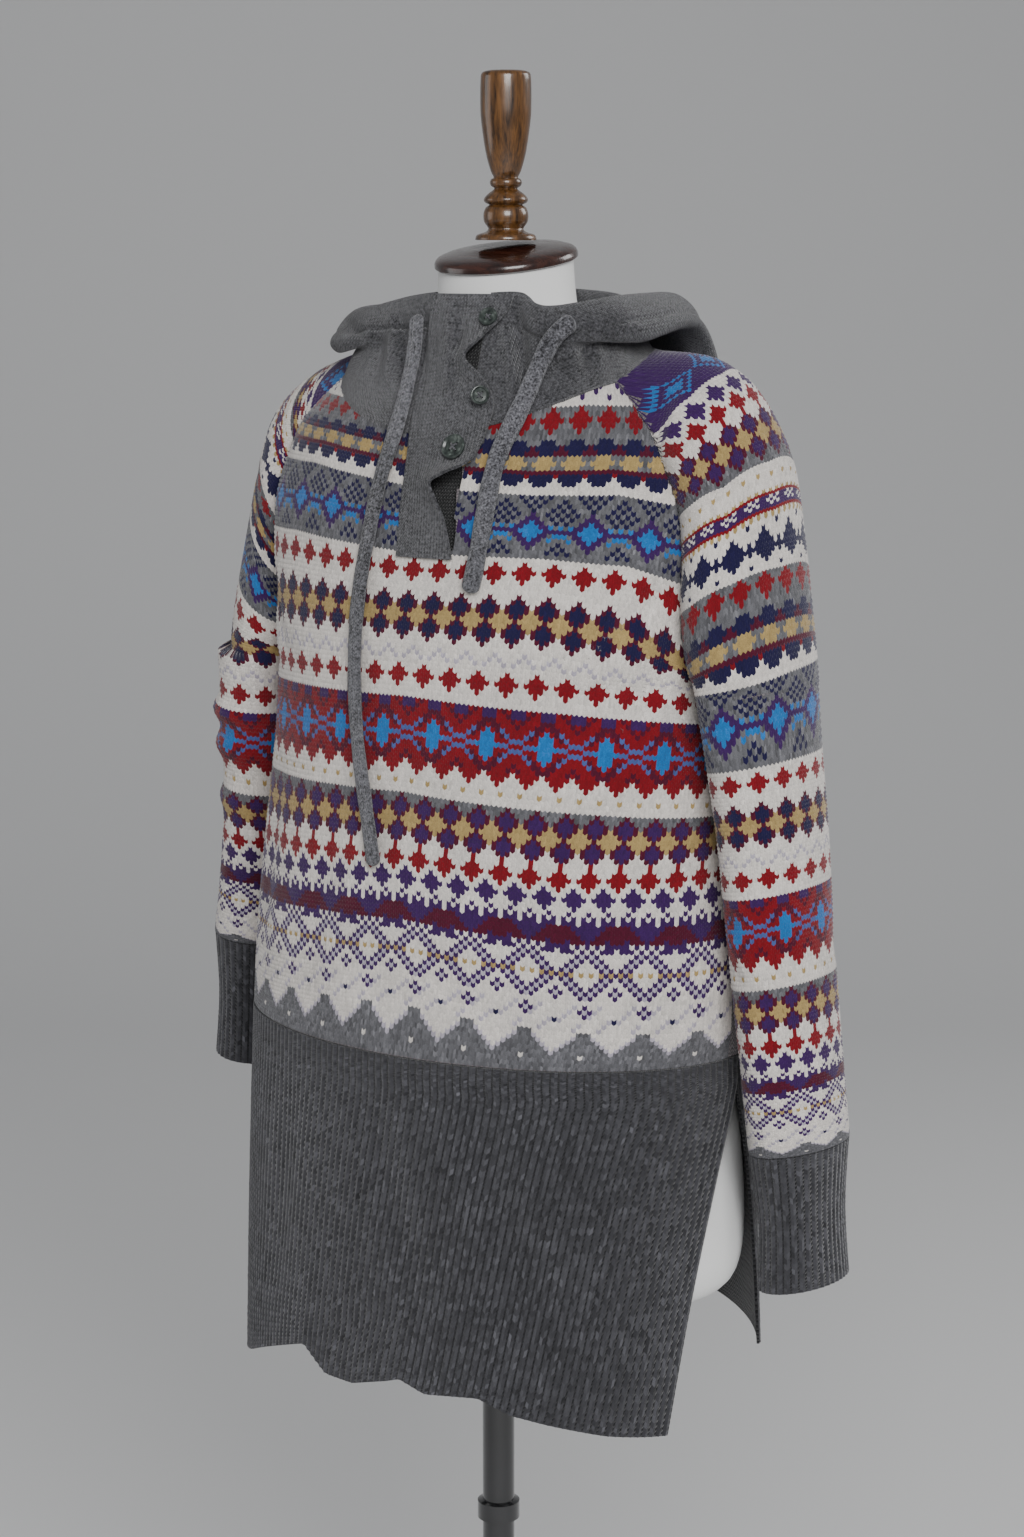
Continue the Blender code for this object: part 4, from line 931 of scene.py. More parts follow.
def knit_chart(name, panel, solve, rows, cols, keep, chart, material):
    """The stitches of a panel that are kept, in the colours of a chart."""
    rows, cols = rows[keep], cols[keep]

    def place(rows, cols, across):
        t, q, _, _ = solve(rows, cols + across)
        return panel.at(t, q)

    box = (cols.max() - cols.min() + 1, rows.max() - rows.min() + 1)
    yarns = dye_letters(np.array([chart(int(row), int(col)) for row, col in zip(rows, cols)]))
    return knit(name, material, rows, cols, place, yarns, box)


def dye_letters(letters):
    """Colours by yarn letter, with the unevenness of dyed yarn and a marl in the grey."""
    colours = np.empty((len(letters), 2, 3))
    for letter, colour in YARNS.items():
        colours[letters == letter] = colour
    uneven = np.exp(RANDOM.normal(0.0, 0.07, (len(letters), 2, 1)))
    marl = np.exp(RANDOM.normal(0.0, 0.22, (len(letters), 2, 1)))
    grey = (letters == "g")[:, None, None]
    return colours * np.where(grey, marl, uneven)


# Sideways lean of the body's columns: height, shift of the cloth
TWIST = [
    (0.885, -0.033), (0.918, -0.03), (1.01, -0.03), (1.027, -0.0315), (1.16, -0.0196), (1.238, -0.007),
    (1.27, -0.005), (1.37, 0.005),
]
# Height at which each chart row lies, across the front from the wearer's right seam to the left one
LINE_SHARES = (-1.0, -0.6, 0.0, 0.5, 0.8, 1.0)
FRONT_LINES = [
    (-30.5, 1.352, 1.35, 1.345, 1.344, 1.3465, 1.3455),
    (-22.5, 1.332, 1.3295, 1.319, 1.315, 1.3165, 1.3143), (-16, 1.312, 1.312, 1.3, 1.297, 1.298, 1.2901),
    (-6.5, 1.28, 1.284, 1.273, 1.2694, 1.266, 1.257), (3.5, 1.244, 1.245, 1.239, 1.24, 1.234, 1.217),
    (13.5, 1.203, 1.209, 1.207, 1.2055, 1.1941, 1.17), (26.5, 1.154, 1.16, 1.164, 1.159, 1.148, 1.14),
    (31, 1.139, 1.144, 1.1475, 1.1405, 1.133, 1.127), (51, 1.0705, 1.073, 1.0775, 1.07, 1.0645, 1.061),
    (63.5, 1.0235, 1.0265, 1.034, 1.025, 1.024, 1.024), (68.5, 1.004, 1.0065, 1.016, 1.008, 1.006, 1.006),
    (97, 0.91, 0.913, 0.9235, 0.913, 0.91, 0.909), (107, 0.885, 0.885, 0.885, 0.885, 0.885, 0.885),
]
BACK_LINES = [
    (-30.5, 1.349, 1.349, 1.347, 1.348, 1.349, 1.349), (-22.5, 1.323, 1.323, 1.32, 1.322, 1.323, 1.323),
    (-16, 1.301, 1.302, 1.3, 1.301, 1.301, 1.301), (-6.5, 1.268, 1.27, 1.272, 1.271, 1.269, 1.268),
    (3.5, 1.2285, 1.233, 1.238, 1.235, 1.231, 1.2285), (13.5, 1.184, 1.195, 1.204, 1.199, 1.191, 1.184),
    (26.5, 1.145, 1.154, 1.159, 1.156, 1.15, 1.145), (31, 1.1305, 1.139, 1.143, 1.141, 1.135, 1.1305),
    (51, 1.0635, 1.069, 1.072, 1.07, 1.065, 1.0635), (63.5, 1.0215, 1.023, 1.028, 1.025, 1.022, 1.0215),
    (68.5, 1.0025, 1.004, 1.01, 1.007, 1.004, 1.0025), (97, 0.9075, 0.909, 0.916, 0.911, 0.908, 0.9075),
    (107, 0.885, 0.885, 0.885, 0.885, 0.885, 0.885),
]


LANES = 41               # lines down a panel on which heights are looked up
WIDEST = 0.24            # first guess of the cloth length from the middle to an edge


def body_solver(panel, lines):
    """Rows and columns of the body to places on it, by height and by cloth length from the middle."""
    heights = panel.points[:, :, 2]
    twist_z, twist_x = zip(*TWIST)
    columns = np.linspace(0, len(panel.q_values) - 1, LANES).astype(int)
    table = np.array(lines)

    def solve(rows, cols):
        level = outside_interp(rows, table[:, 0], table[:, 3])
        length = cols * STITCH + np.interp(level, twist_z, twist_x)
        q = np.clip(length / WIDEST, -1, 1)
        for _ in range(4):
            t = t_from_height(read_lanes(rows, q, table, LINE_SHARES), q)
            reach = panel.length(t, length)
            q = np.clip(length / reach, -1, 1)
        return t, q, length, reach

    def t_from_height(want, q):
        k = np.clip((q + 1) / 2 * (LANES - 1), 0, LANES - 1.001)
        k0 = k.astype(int)
        share = k - k0
        low, high = np.empty_like(want), np.empty_like(want)
        steps = panel.t_values[::-1]
        for j in range(LANES):
            line = heights[::-1, columns[j]]
            for found, mine in ((low, k0 == j), (high, k0 + 1 == j)):
                if mine.any():
                    found[mine] = outside_interp(want[mine], line, steps)
        return low * (1 - share) + high * share

    return solve


def outside_interp(want, line, steps):
    """Straight reading of a rising table, carried on past its ends."""
    value = np.interp(want, line, steps)
    low_slope = (steps[1] - steps[0]) / (line[1] - line[0])
    high_slope = (steps[-1] - steps[-2]) / (line[-1] - line[-2])
    value = np.where(want < line[0], steps[0] + (want - line[0]) * low_slope, value)
    return np.where(want > line[-1], steps[-1] + (want - line[-1]) * high_slope, value)


def knit_body(name, panel, first_row, material, notch):
    """The patterned stitches of the front or back."""
    solve = body_solver(panel, FRONT_LINES if notch else BACK_LINES)
    rows, cols = stitch_grid(first_row, BODY_LAST_ROW, -BODY_STITCHES, BODY_STITCHES)
    t, q, length, reach = solve(rows + 0.5, cols + 0.5)
    keep = (np.abs(length) < reach + SEAM_MARGIN) & (t > -0.03) & (t < BODY_END)
    if notch:
        x = panel.at(t, q)[0][:, 0]
        keep &= ~((x > PLACKET_LEFT - 0.001) & (x < PLACKET_RIGHT + 0.001) & (t < PLACKET_BOTTOM_ROW - 0.02))
    return knit_chart(name, panel, solve, rows, cols, keep, body_chart, material)


# Where the charts' rows lie on a sleeve: chart row, then the place down the sleeve at each share round it
ROUND_SHARES = (-1.0, -0.75, -0.45, -0.1, 0.3, 1.0)
LEFT_ROWS = [
    (-100, -0.6, -0.45, -0.25, 0, 0, -0.6), (-90, 0.15, 0.65, 1.1, 1.25, 1.15, 0.15),
    (-79, 1, 1.72, 2.2, 2.4, 2.25, 1), (-75.5, 1.35, 2.08, 2.58, 2.73, 2.6, 1.35),
    (-71.5, 1.85, 2.47, 2.96, 3.12, 2.98, 1.85), (-63.5, 2.65, 3.13, 3.58, 3.7, 3.6, 2.65),
    (-58, 3.05, 3.5, 3.98, 4.08, 3.98, 3.05), (-53.5, 3.35, 3.78, 4.13, 4.27, 4.2, 3.35),
    (-51, 3.58, 3.98, 4.38, 4.46, 4.38, 3.58), (-44, 3.95, 4.32, 4.66, 4.73, 4.62, 3.95),
    (-38.5, 4.45, 4.76, 5.04, 5.13, 5.08, 4.45), (-30.5, 5.12, 5.3, 5.42, 5.48, 5.45, 5.12),
    (-22.5, 6.12, 6.08, 6.04, 6.03, 6.02, 6.1), (-15, 7.05, 6.97, 6.78, 6.6, 6.5, 6.95),
    (0, 8.02, 7.98, 7.95, 7.92, 7.9, 8.02), (31, 9.8, 9.79, 9.78, 9.77, 9.76, 9.8),
    (51, 10.92, 10.91, 10.9, 10.89, 10.88, 10.92), (71, 11.9, 11.9, 11.9, 11.9, 11.9, 11.9),
    (97, 12.78, 12.78, 12.78, 12.78, 12.78, 12.78), (107, 13, 13, 13, 13, 13, 13),
]
RIGHT_ROWS = [(row,) + (place,) * 6 for row, place in (
    (-95, -0.6), (-89, 0.0), (-79, 0.9), (-58, 1.8), (-51, 2.2), (-44, 2.6), (-33, 3.6), (0, 5.7), (31, 8.15),
    (47, 9.6), (51, 10.05), (71, 11.4), (97, 12.78), (107, 13.0))]


def read_lanes(rows, q, table, shares):
    """Reads a table of rows by a row number and, between its columns, by a share across."""
    lanes = np.array([outside_interp(rows, table[:, 0], lane) for lane in table[:, 1:].T])
    place = np.interp(q, shares, np.arange(float(len(shares))))
    first = np.minimum(place.astype(int), len(shares) - 2)
    low, high = (np.take_along_axis(lanes, k[None], 0)[0] for k in (first, first + 1))
    return low + (high - low) * (place - first)


def sleeve_solver(panel, anchors):
    """Rows and columns of a sleeve to places on it."""
    table = np.array(anchors)
    full = panel.length(np.array([UNDERARM + 0.05]), np.array([1.0]))[0]
    width = 2 * full / SLEEVE_STITCHES

    def solve(rows, cols):
        q = np.clip(cols / (SLEEVE_STITCHES / 2), -1, 1)
        for _ in range(4):
            t = read_lanes(rows, q, table, ROUND_SHARES)
            reach = panel.length(t, cols)
            closed = np.clip((t - 6.2) / 0.8, 0, 1)
            here = width * (1 - closed) + reach / (SLEEVE_STITCHES / 2) * closed
            length = cols * here
            q = np.clip(length / reach, -1, 1)
        return t, q, length, reach

    return solve


def knit_sleeve(name, panel, anchors, material):
    """The patterned stitches of one sleeve."""
    solve = sleeve_solver(panel, anchors)
    half = SLEEVE_STITCHES // 2
    rows, cols = stitch_grid(SLEEVE_FIRST_ROW, BODY_LAST_ROW, -half, half)
    t, q, length, reach = solve(rows + 0.5, cols + 0.5)
    keep = (np.abs(length) < reach + SEAM_MARGIN) & (t > -0.03)
    return knit_chart(name, panel, solve, rows, cols, keep, sleeve_chart, material)


# ---------------------------------------------------------------- thin shells
UNDER_STITCHES = 0.0006  # the cloth's outside lies this deep below the patterned stitches


def shell(name, points, normals, material, uv, sunk=0.0, skip=None):
    """Closed thin wall from a grid of points, sunk by a little, with a UV map counted in stitches."""
    rows, columns = points.shape[:2]
    skins = [(points - normals * depth).reshape(-1, 3) for depth in (sunk, WALL)]
    number = np.arange(rows * columns).reshape(rows, columns)
    i, j = np.meshgrid(np.arange(rows - 1), np.arange(columns - 1), indexing="ij")
    keep = np.ones(i.shape, bool) if skip is None else ~skip(i, j)
    i, j = i[keep], j[keep]
    faces = np.stack([number[i, j], number[i + 1, j], number[i + 1, j + 1], number[i, j + 1]], axis=1)
    offset = rows * columns
    edges = {}
    for a, b, c, d in faces:
        for edge in ((a, b), (b, c), (c, d), (d, a)):
            edges[edge] = True
    rim = [(b, a, a + offset, b + offset) for a, b in edges if (b, a) not in edges]
    every = np.concatenate([faces, faces[:, ::-1] + offset, np.array(rim)])
    flat = np.concatenate(skins)
    a, b, d = (flat[faces[:, k]] for k in (0, 1, 3))
    mean = normals.reshape(-1, 3)[faces[:, 0]]
    if np.sum(np.cross(b - a, d - a) * mean) < 0:
        every = every[:, ::-1]
    used = np.unique(every)
    renumber = np.full(len(flat), -1)
    renumber[used] = np.arange(len(used))
    piece = new_piece(name, flat[used], renumber[every], material)
    set_uv(piece, "Knit", np.concatenate([uv.reshape(-1, 2)] * 2)[used])
    piece.data.set_sharp_from_angle(angle=math.radians(60))
    return piece


def panel_shell(name, panel, rows, columns, material, skip=None):
    """The cloth behind the patterned stitches."""
    t, q = np.meshgrid(rows, columns, indexing="ij")
    points, normals = panel.at(t, q)
    uv = np.stack([q * panel.length(t, q) / STITCH, t * 12], axis=2)
    return shell(name, points, normals, material, uv, UNDER_STITCHES, skip)


def finish_cloth(node):
    """Hides the part that a piece of cloth and its stitches replace."""
    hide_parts(node)


def build_body(yarn):
    """Front, back and sleeves: shells and their stitches."""
    lining = purl_finish("float_side", srgb(92, 84, 90), srgb(142, 134, 136))
    front, back = body_panel(FRONT, -1), body_panel(BACK, 1)
    front_stitches = knit_body("front_stitches", front, FRONT_FIRST_ROW, yarn, True)
    back_stitches = knit_body("back_stitches", back, BACK_FIRST_ROW, yarn, False)
    rows = np.concatenate([np.linspace(0, PLACKET_BOTTOM_ROW, 20), np.linspace(3.6, BODY_END - 0.015, 50)])
    columns = np.linspace(-1, 1, 97)

    def notched(i, j):
        x = front.at(rows[i] + 0.01, columns[j] + 0.008)[0][..., 0]
        return (rows[i] < PLACKET_BOTTOM_ROW - 0.01) & (x > PLACKET_LEFT) & (x < PLACKET_RIGHT)

    cloth = panel_shell("front_cloth", front, rows, columns, lining, notched)
    back_cloth = panel_shell("back_cloth", back, rows, columns, lining)
    finish_cloth("front_body")
    finish_cloth("back_body")
    sleeve_rows = np.concatenate([np.linspace(0, UNDERARM, 44), np.linspace(UNDERARM + 0.1, WRIST, 70)])
    for side, node, anchors in ((1, "sleeve_left", LEFT_ROWS), (-1, "sleeve_right", RIGHT_ROWS)):
        panel = sleeve_panel(side)
        stitches = knit_sleeve(node + "_stitches", panel, anchors, yarn)
        cloth = panel_shell(node + "_cloth", panel, sleeve_rows, np.linspace(-1, 1, 59), lining)
        finish_cloth(node)


# ---------------------------------------------------------------- rib hems and cuffs
RIB_ROW = 0.0036         # height of one knit row of the rib
RIB_SHARE = 0.84         # width of a rib as a share of the rib pitch
RIB_FOOT, RIB_TOP, RIB_CROWN = -0.0002, 0.0003, 0.0011
RIB_MARL = 0.26          # unevenness of the rib's grey yarn


def table_value(rows, at):
    """Straight reading of a two-column table."""
    places, values = zip(*rows)
    return np.interp(at, places, values)


def hem_panel(table, facing):
    """One rib hem as a panel, with its uneven lower edge."""
    t_values = np.linspace(0, len(table) - 1, 161)
    share = np.linspace(0, 1, 181)[None, :]
    rows = curve_rows(table, t_values)
    left_z, left_x, left_y, right_z, right_x, right_y, mid_z, depth = (rows[:, k:k + 1] for k in range(8))
    left_angle = np.arccos(np.minimum(np.abs(left_y) / depth, 1.0))
    right_angle = np.arccos(np.minimum(np.abs(right_y) / depth, 1.0))
    angle = -right_angle + (left_angle + right_angle) * share
    is_left = angle > 0
    half_width = np.where(is_left, left_x / np.sin(left_angle), right_x / np.sin(right_angle))
    side_angle = np.where(is_left, left_angle, right_angle)
    across = np.sin(angle) / np.sin(side_angle)
    z = mid_z + (np.where(is_left, left_z, right_z) - mid_z) * across * across
    if facing < 0:
        low = np.maximum(0.0, t_values - 2.4)[:, None] / (len(table) - 3.4)
        z = z + table_value(HEM_WAVE, angle / side_angle) * low * low
    points = np.stack([half_width * np.sin(angle), facing * depth * np.cos(angle), z], axis=2)
    return folded_panel(points, t_values, HEM_FOLDS)


def cuff_panel(side):
    """One rib cuff as a panel of closed rings."""
    right = side < 0
    t_values = np.linspace(0, 2, 61)
    rings = []
    for z, x, half_width, half_depth in curve_rows(CUFF, t_values):
        base = sleeve_ring((z, x, half_width, half_depth), right, np.array([-1.0]))[0][2]
        angle = math.pi * np.linspace(-1, 1, 97)
        outer = (1 + np.cos(angle)) / 2
        rings.append(np.stack([side * (x + half_width * np.cos(angle)),
                               half_depth * np.sin(angle) + RIGHT_SWING * right,
                               base + SLEEVE_TILT * half_width * 2 * outer], axis=1))
    return Panel(np.array(rings), t_values, lambda table: table.mean(axis=1, keepdims=True), 0)


def knit_ribs(name, panel, ribs, last, material):
    """Columns of V stitches that stand as ribs over the furrows."""
    drop = np.linalg.norm(np.diff(panel.points[:, PANEL_STEPS // 2], axis=0), axis=1).sum()
    count = int(drop / RIB_ROW)

    def place(rows, cols, across):
        q = -1 + 2 * (cols + 0.5 + (across - 0.5) * RIB_SHARE) / ribs
        return panel.at(np.clip(rows / count, 0, 1) * last, q)

    rows, cols = stitch_grid(0, count, 0, ribs)
    marl = np.exp(RANDOM.normal(0.0, RIB_MARL, (len(rows), 2, 1)))
    yarns = dye_letters(np.full(len(rows), "h")) * marl
    return knit(name, material, rows, cols, place, yarns, (ribs, count), (RIB_FOOT, RIB_TOP), RIB_CROWN)


def build_ribs(yarn):
    """Both hem panels and both cuffs."""
    # The furrows' grey yarn is painted darker than the ribs' yarn, as painted shade in the recesses between
    # them.
    furrow = purl_finish("rib_furrow_painted_shade", srgb(28, 28, 31), srgb(54, 54, 57))
    pieces = [("front_hem", hem_panel(FRONT_HEM, -1), RIBS_PANEL, 4, (0.57, 0.29), 0.145),
              ("back_hem", hem_panel(BACK_HEM, 1), RIBS_PANEL, 4, (0.60, 0.24), 0.140),
              ("cuff_left", cuff_panel(1), RIBS_CUFF, 2, (0.25, 0.105), 0.024),
              ("cuff_right", cuff_panel(-1), RIBS_CUFF, 2, (0.25, 0.105), 0.024)]
    for node, panel, ribs, last, cut, area in pieces:
        stitches = knit_ribs(node + "_ribs", panel, ribs, last, yarn)
        rows = np.linspace(0, last, 44 if last == 4 else 30)
        columns = np.linspace(-1, 1, 2 * ribs + 1)
        t, q = np.meshgrid(rows, columns, indexing="ij")
        points, normals = panel.at(t, q)
        uv = np.stack([q * ribs, t * 18], axis=2)
        cloth = shell(node + "_cloth", points, normals, furrow, uv)
        finish_cloth(node)


# ---------------------------------------------------------------- hood and button band
FINE_STITCH, FINE_ROW = 0.0024, 0.0026   # the hood is knit finer than the body
CASING = 0.024           # width of the drawstring casing along the rim
HOOD_ROWS_FINE, HOOD_COLUMNS_FINE = 76, 150


def body_point(row, facing, angle):
    """Point of a body row at an angle from the middle."""
    side_z, side_x, side_y, mid_z, depth = row
    half_width, side_angle = half_section(side_x, side_y, depth)
    share = math.sin(angle) / math.sin(side_angle)
    return np.array((half_width * math.sin(angle), facing * depth * math.cos(angle),
                     mid_z + (side_z - mid_z) * share * share))


def funnel_point(x, z):
    """Point on the front of the neck opening or, below the neck seam, on the front panel."""
    if z < FUNNEL[0][0]:
        rows = sorted((row[3], row[1], row[2], row[4]) for row in FRONT)
        heights, side_x, side_y, depths = (np.array(column) for column in zip(*rows))
        depth = np.interp(z, heights, depths)
        half_width, _ = half_section(np.interp(z, heights, side_x), np.interp(z, heights, side_y), depth)
    else:
        heights, widths, depths = zip(*FUNNEL)
        half_width, depth = np.interp(z, heights, widths), np.interp(z, heights, depths)
    return np.array((x, -depth * math.sqrt(max(0.0, 1 - (x / half_width) ** 2)), z))


def neck_seam(angle, ring):
    """Point of the neck seam at an angle round the neck, in degrees from the front towards the left."""
    size = abs(angle)
    side = 1 if angle >= 0 else -1
    front_end = half_section(*FRONT[0][1:3], FRONT[0][4])[1]
    back_end = half_section(*BACK[0][1:3], BACK[0][4])[1]
    if size <= FRONT_NECK_END:
        point = body_point(FRONT[0], -1, front_end * size / FRONT_NECK_END)
    elif size >= BACK_NECK_END:
        point = body_point(BACK[0], 1, back_end * (180 - size) / (180 - BACK_NECK_END))
    else:
        point = curve_rows(ring, (size - FRONT_NECK_END) / (BACK_NECK_END - FRONT_NECK_END) * (len(ring) - 1))
    return np.array((point[0] * side, point[1], point[2]))


def hood_points(stations, edge_x):
    """Fine grid of one hood half, rows from the rim to the neck seam."""
    ring = raglan_ring(0.0, False, np.linspace(-1, 1, 19))
    half_width, front_end = half_section(*FRONT[0][1:3], FRONT[0][4])
    lines, places = [], []
    for x in [edge_x] + ([FLAP_REST_X] if edge_x > 0 else []):
        angle = math.asin(x / half_width)
        seam_z = body_point(FRONT[0], -1, angle)[2]
        lines.append([funnel_point(x, z) for z in np.linspace(seam_z, FUNNEL[-1][0], 7)])
        places.append(angle / front_end * FRONT_NECK_END)
    for angle, profile in stations:
        turn = math.radians(angle)
        out = np.array((math.sin(turn), -math.cos(turn), 0))
        lines.append([neck_seam(angle, ring)] + [out * radius + np.array((0, 0, z)) for radius, z in profile])
        places.append(angle)
    t_values = np.linspace(0, len(lines) - 1, HOOD_COLUMNS_FINE)
    table = curve_rows(np.array(lines), t_values)
    around = curve_rows(np.array(places)[:, None], t_values)[:, 0]
    shift = np.array([neck_seam(angle, ring) for angle in around]) - table[:, 0]
    v_values = np.linspace(6, 0, HOOD_ROWS_FINE)
    columns = []
    for line, move in zip(table, shift):
        fade = np.maximum(0.0, 1 - v_values / 2) ** 2
        columns.append(curve_rows(line, v_values) + move * fade[:, None])
    points = np.array(columns).transpose(1, 0, 2)
    points[-1, :, 2] += HOOD_LIFT
    return points


def cloth_lengths(points):
    """Length of cloth down the columns and across the rows, from the first of each."""
    down = np.concatenate([np.zeros((1, points.shape[1])),
                           np.cumsum(np.linalg.norm(np.diff(points, axis=0), axis=2), axis=0)])
    across = np.concatenate([np.zeros((points.shape[0], 1)),
                             np.cumsum(np.linalg.norm(np.diff(points, axis=1), axis=2), axis=1)], axis=1)
    return down, across


def smooth_step(value, start, end):
    """0 before start, 1 after end, soft between."""
    share = np.clip((value - start) / (end - start), 0, 1)
    return share * share * (3 - 2 * share)


# Folds of the hood and the button band
HOOD_FOLDS = metres(10000, [
    ((560, -620, 14200), (720, -710, 13600), 52, 70), ((480, -670, 14200), (640, -740, 13620), 42, -30),
    ((730, -540, 14140), (770, -640, 13660), 48, -41), ((840, -460, 14200), (840, -550, 13840), 42, 41),
    ((930, -340, 14110), (1010, -400, 13670), 50, 62), ((980, -300, 14120), (1060, -300, 13700), 40, -27),
    ((1010, -220, 14040), (1090, -180, 13720), 50, 57), ((-380, -710, 14120), (-270, -840, 13720), 55, 57),
    ((-600, -580, 14070), (-550, -740, 13700), 60, 51), ((-480, -660, 14120), (-420, -800, 13720), 45, -30),
    ((-160, -740, 14200), (-20, -910, 13600), 46, 43), ((40, -760, 14280), (200, -960, 13500), 60, -19),
    ((180, -770, 14240), (260, -910, 13740), 50, 35), ((1380, 500, 14080), (1250, 1050, 13300), 110, 54),
    ((-1300, 600, 14020), (-1180, 1120, 13250), 110, 50), ((660, 1680, 13240), (450, 1550, 12840), 120, 48),
    ((-500, 1720, 13300), (-720, 1500, 12880), 100, 40),
    ((-800, -680, 14040), (-1240, -200, 14090), 55, 65), ((1180, 0, 14020), (1280, 60, 13920), 80, 34),
])
BACK_SAG = 0.009         # how far the rim sinks behind the neck


def build_hood(knit_grey):
    """Two hood halves with the drawstring casing along the rim."""
    halves = (("hood_left", HOOD_LEFT, PLACKET_RIGHT), ("hood_right", HOOD_RIGHT, PLACKET_LEFT))
    for node, stations, edge_x in halves:
        points = hood_points(stations, edge_x)
        normals = normals_of(points)
        front_row = int(HOOD_ROWS_FINE * 0.4)
        if normals[front_row, 0] @ (points[front_row, 0] * (1, 1, 0)) < 0:
            normals = -normals
        down, across = cloth_lengths(points)
        points = pressed(points, normals, HOOD_FOLDS)
        points[:, :, 2] -= BACK_SAG * smooth_step(points[:, :, 1], 0.02, 0.12) * np.exp(-down / 0.035)
        casing = 1 - smooth_step(down, CASING - 0.0006, CASING + 0.0010)
        seam = np.exp(-((down - CASING) / 0.0013) ** 2)
        edge = np.exp(-(down / 0.0016) ** 2)
        rounding = np.sin(np.pi * np.clip(down / CASING, 0, 1))
        lift = casing * (0.0009 + 0.0016 * rounding) - seam * 0.0017 - edge * 0.0006
        skin = points + normals * lift[..., None]
        mean_across = across.mean(axis=0)[None, :].repeat(len(down), 0)
        uv = np.stack([mean_across / FINE_STITCH, down / FINE_ROW], axis=2)
        cloth = shell(node + "_cloth", skin, normals, knit_grey, uv)
        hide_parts(node)


def band_points(table_t, shares, edge_table):
    """Fine grid of the button band with its curling edge."""
    rows = []
    for z, edge_x, curl in curve_rows(edge_table, table_t):
        row = []
        for share in shares:
            base = funnel_point(PLACKET_LEFT + (edge_x - PLACKET_LEFT) * share, z)
            out = unit(base * np.array((1, 1, 0)))
            row.append(base + out * (BAND_OUT + curl * share * share))
        rows.append(row)
    return np.array(rows)


GAP_DEPTH = 0.006        # how far the under band sinks beside the free edge


def build_placket(knit_grey):
    """Under band in the notch, coloured near black as painted shadow, and the button band with its wavy free
    edge.
    """
    # Painted shadow: the under band is coloured near black to stand for the dark gap beside the free edge.
    painted_shadow_finish = grey_knit_finish("heather_jersey_painted_shadow", srgb(5, 5, 6), srgb(24, 24, 26), 0.0010)
    notch_floor = curve_rows(FRONT, PLACKET_BOTTOM_ROW)[3] + 0.0012
    widths = np.linspace(PLACKET_LEFT + SEAM_MARGIN, PLACKET_RIGHT - SEAM_MARGIN, 24)
    heights = np.linspace(FLAP_EDGE[-1][0], notch_floor, 90)
    under = np.array([[funnel_point(x, z) for x in widths] for z in heights])
    over = band_points(np.linspace(len(FLAP_EDGE) - 1, 0, 160), np.linspace(0, 1, 36), FLAP_EDGE)
    for node, points, cut in (("placket_under", under, (0.045, 0.19)), ("placket_over", over, (0.058, 0.19))):
        normals = normals_of(points)
        normals *= np.sign(np.sum(normals * points * (1, 1, 0), axis=2, keepdims=True).mean())
        down, across = cloth_lengths(points)
        lift = np.zeros(down.shape)
        finish = knit_grey
        if node == "placket_under":
            # The under band takes the near-black painted shadow finish.
            finish = painted_shadow_finish
            x, z = points[:, :, 0], points[:, :, 2]
            below = 1 - smooth_step(z, 1.302, 1.316)
            lift -= smooth_step(x, 0.004, 0.013) * smooth_step(z, 1.242, 1.255) * below * GAP_DEPTH
        if node == "placket_over":
            points = pressed(points, normals, HOOD_FOLDS)
            from_edge = across[:, -1:] - across
            lift += np.exp(-((from_edge - 0.0022) / 0.0012) ** 2) * 0.0006
            lift -= np.exp(-((from_edge - 0.0046) / 0.0007) ** 2) * 0.0005
        skin = points + normals * lift[..., None]
        uv = np.stack([across / FINE_STITCH, down / FINE_ROW], axis=2)
        cloth = shell(node + "_cloth", skin, normals, finish, uv)
        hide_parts(node)


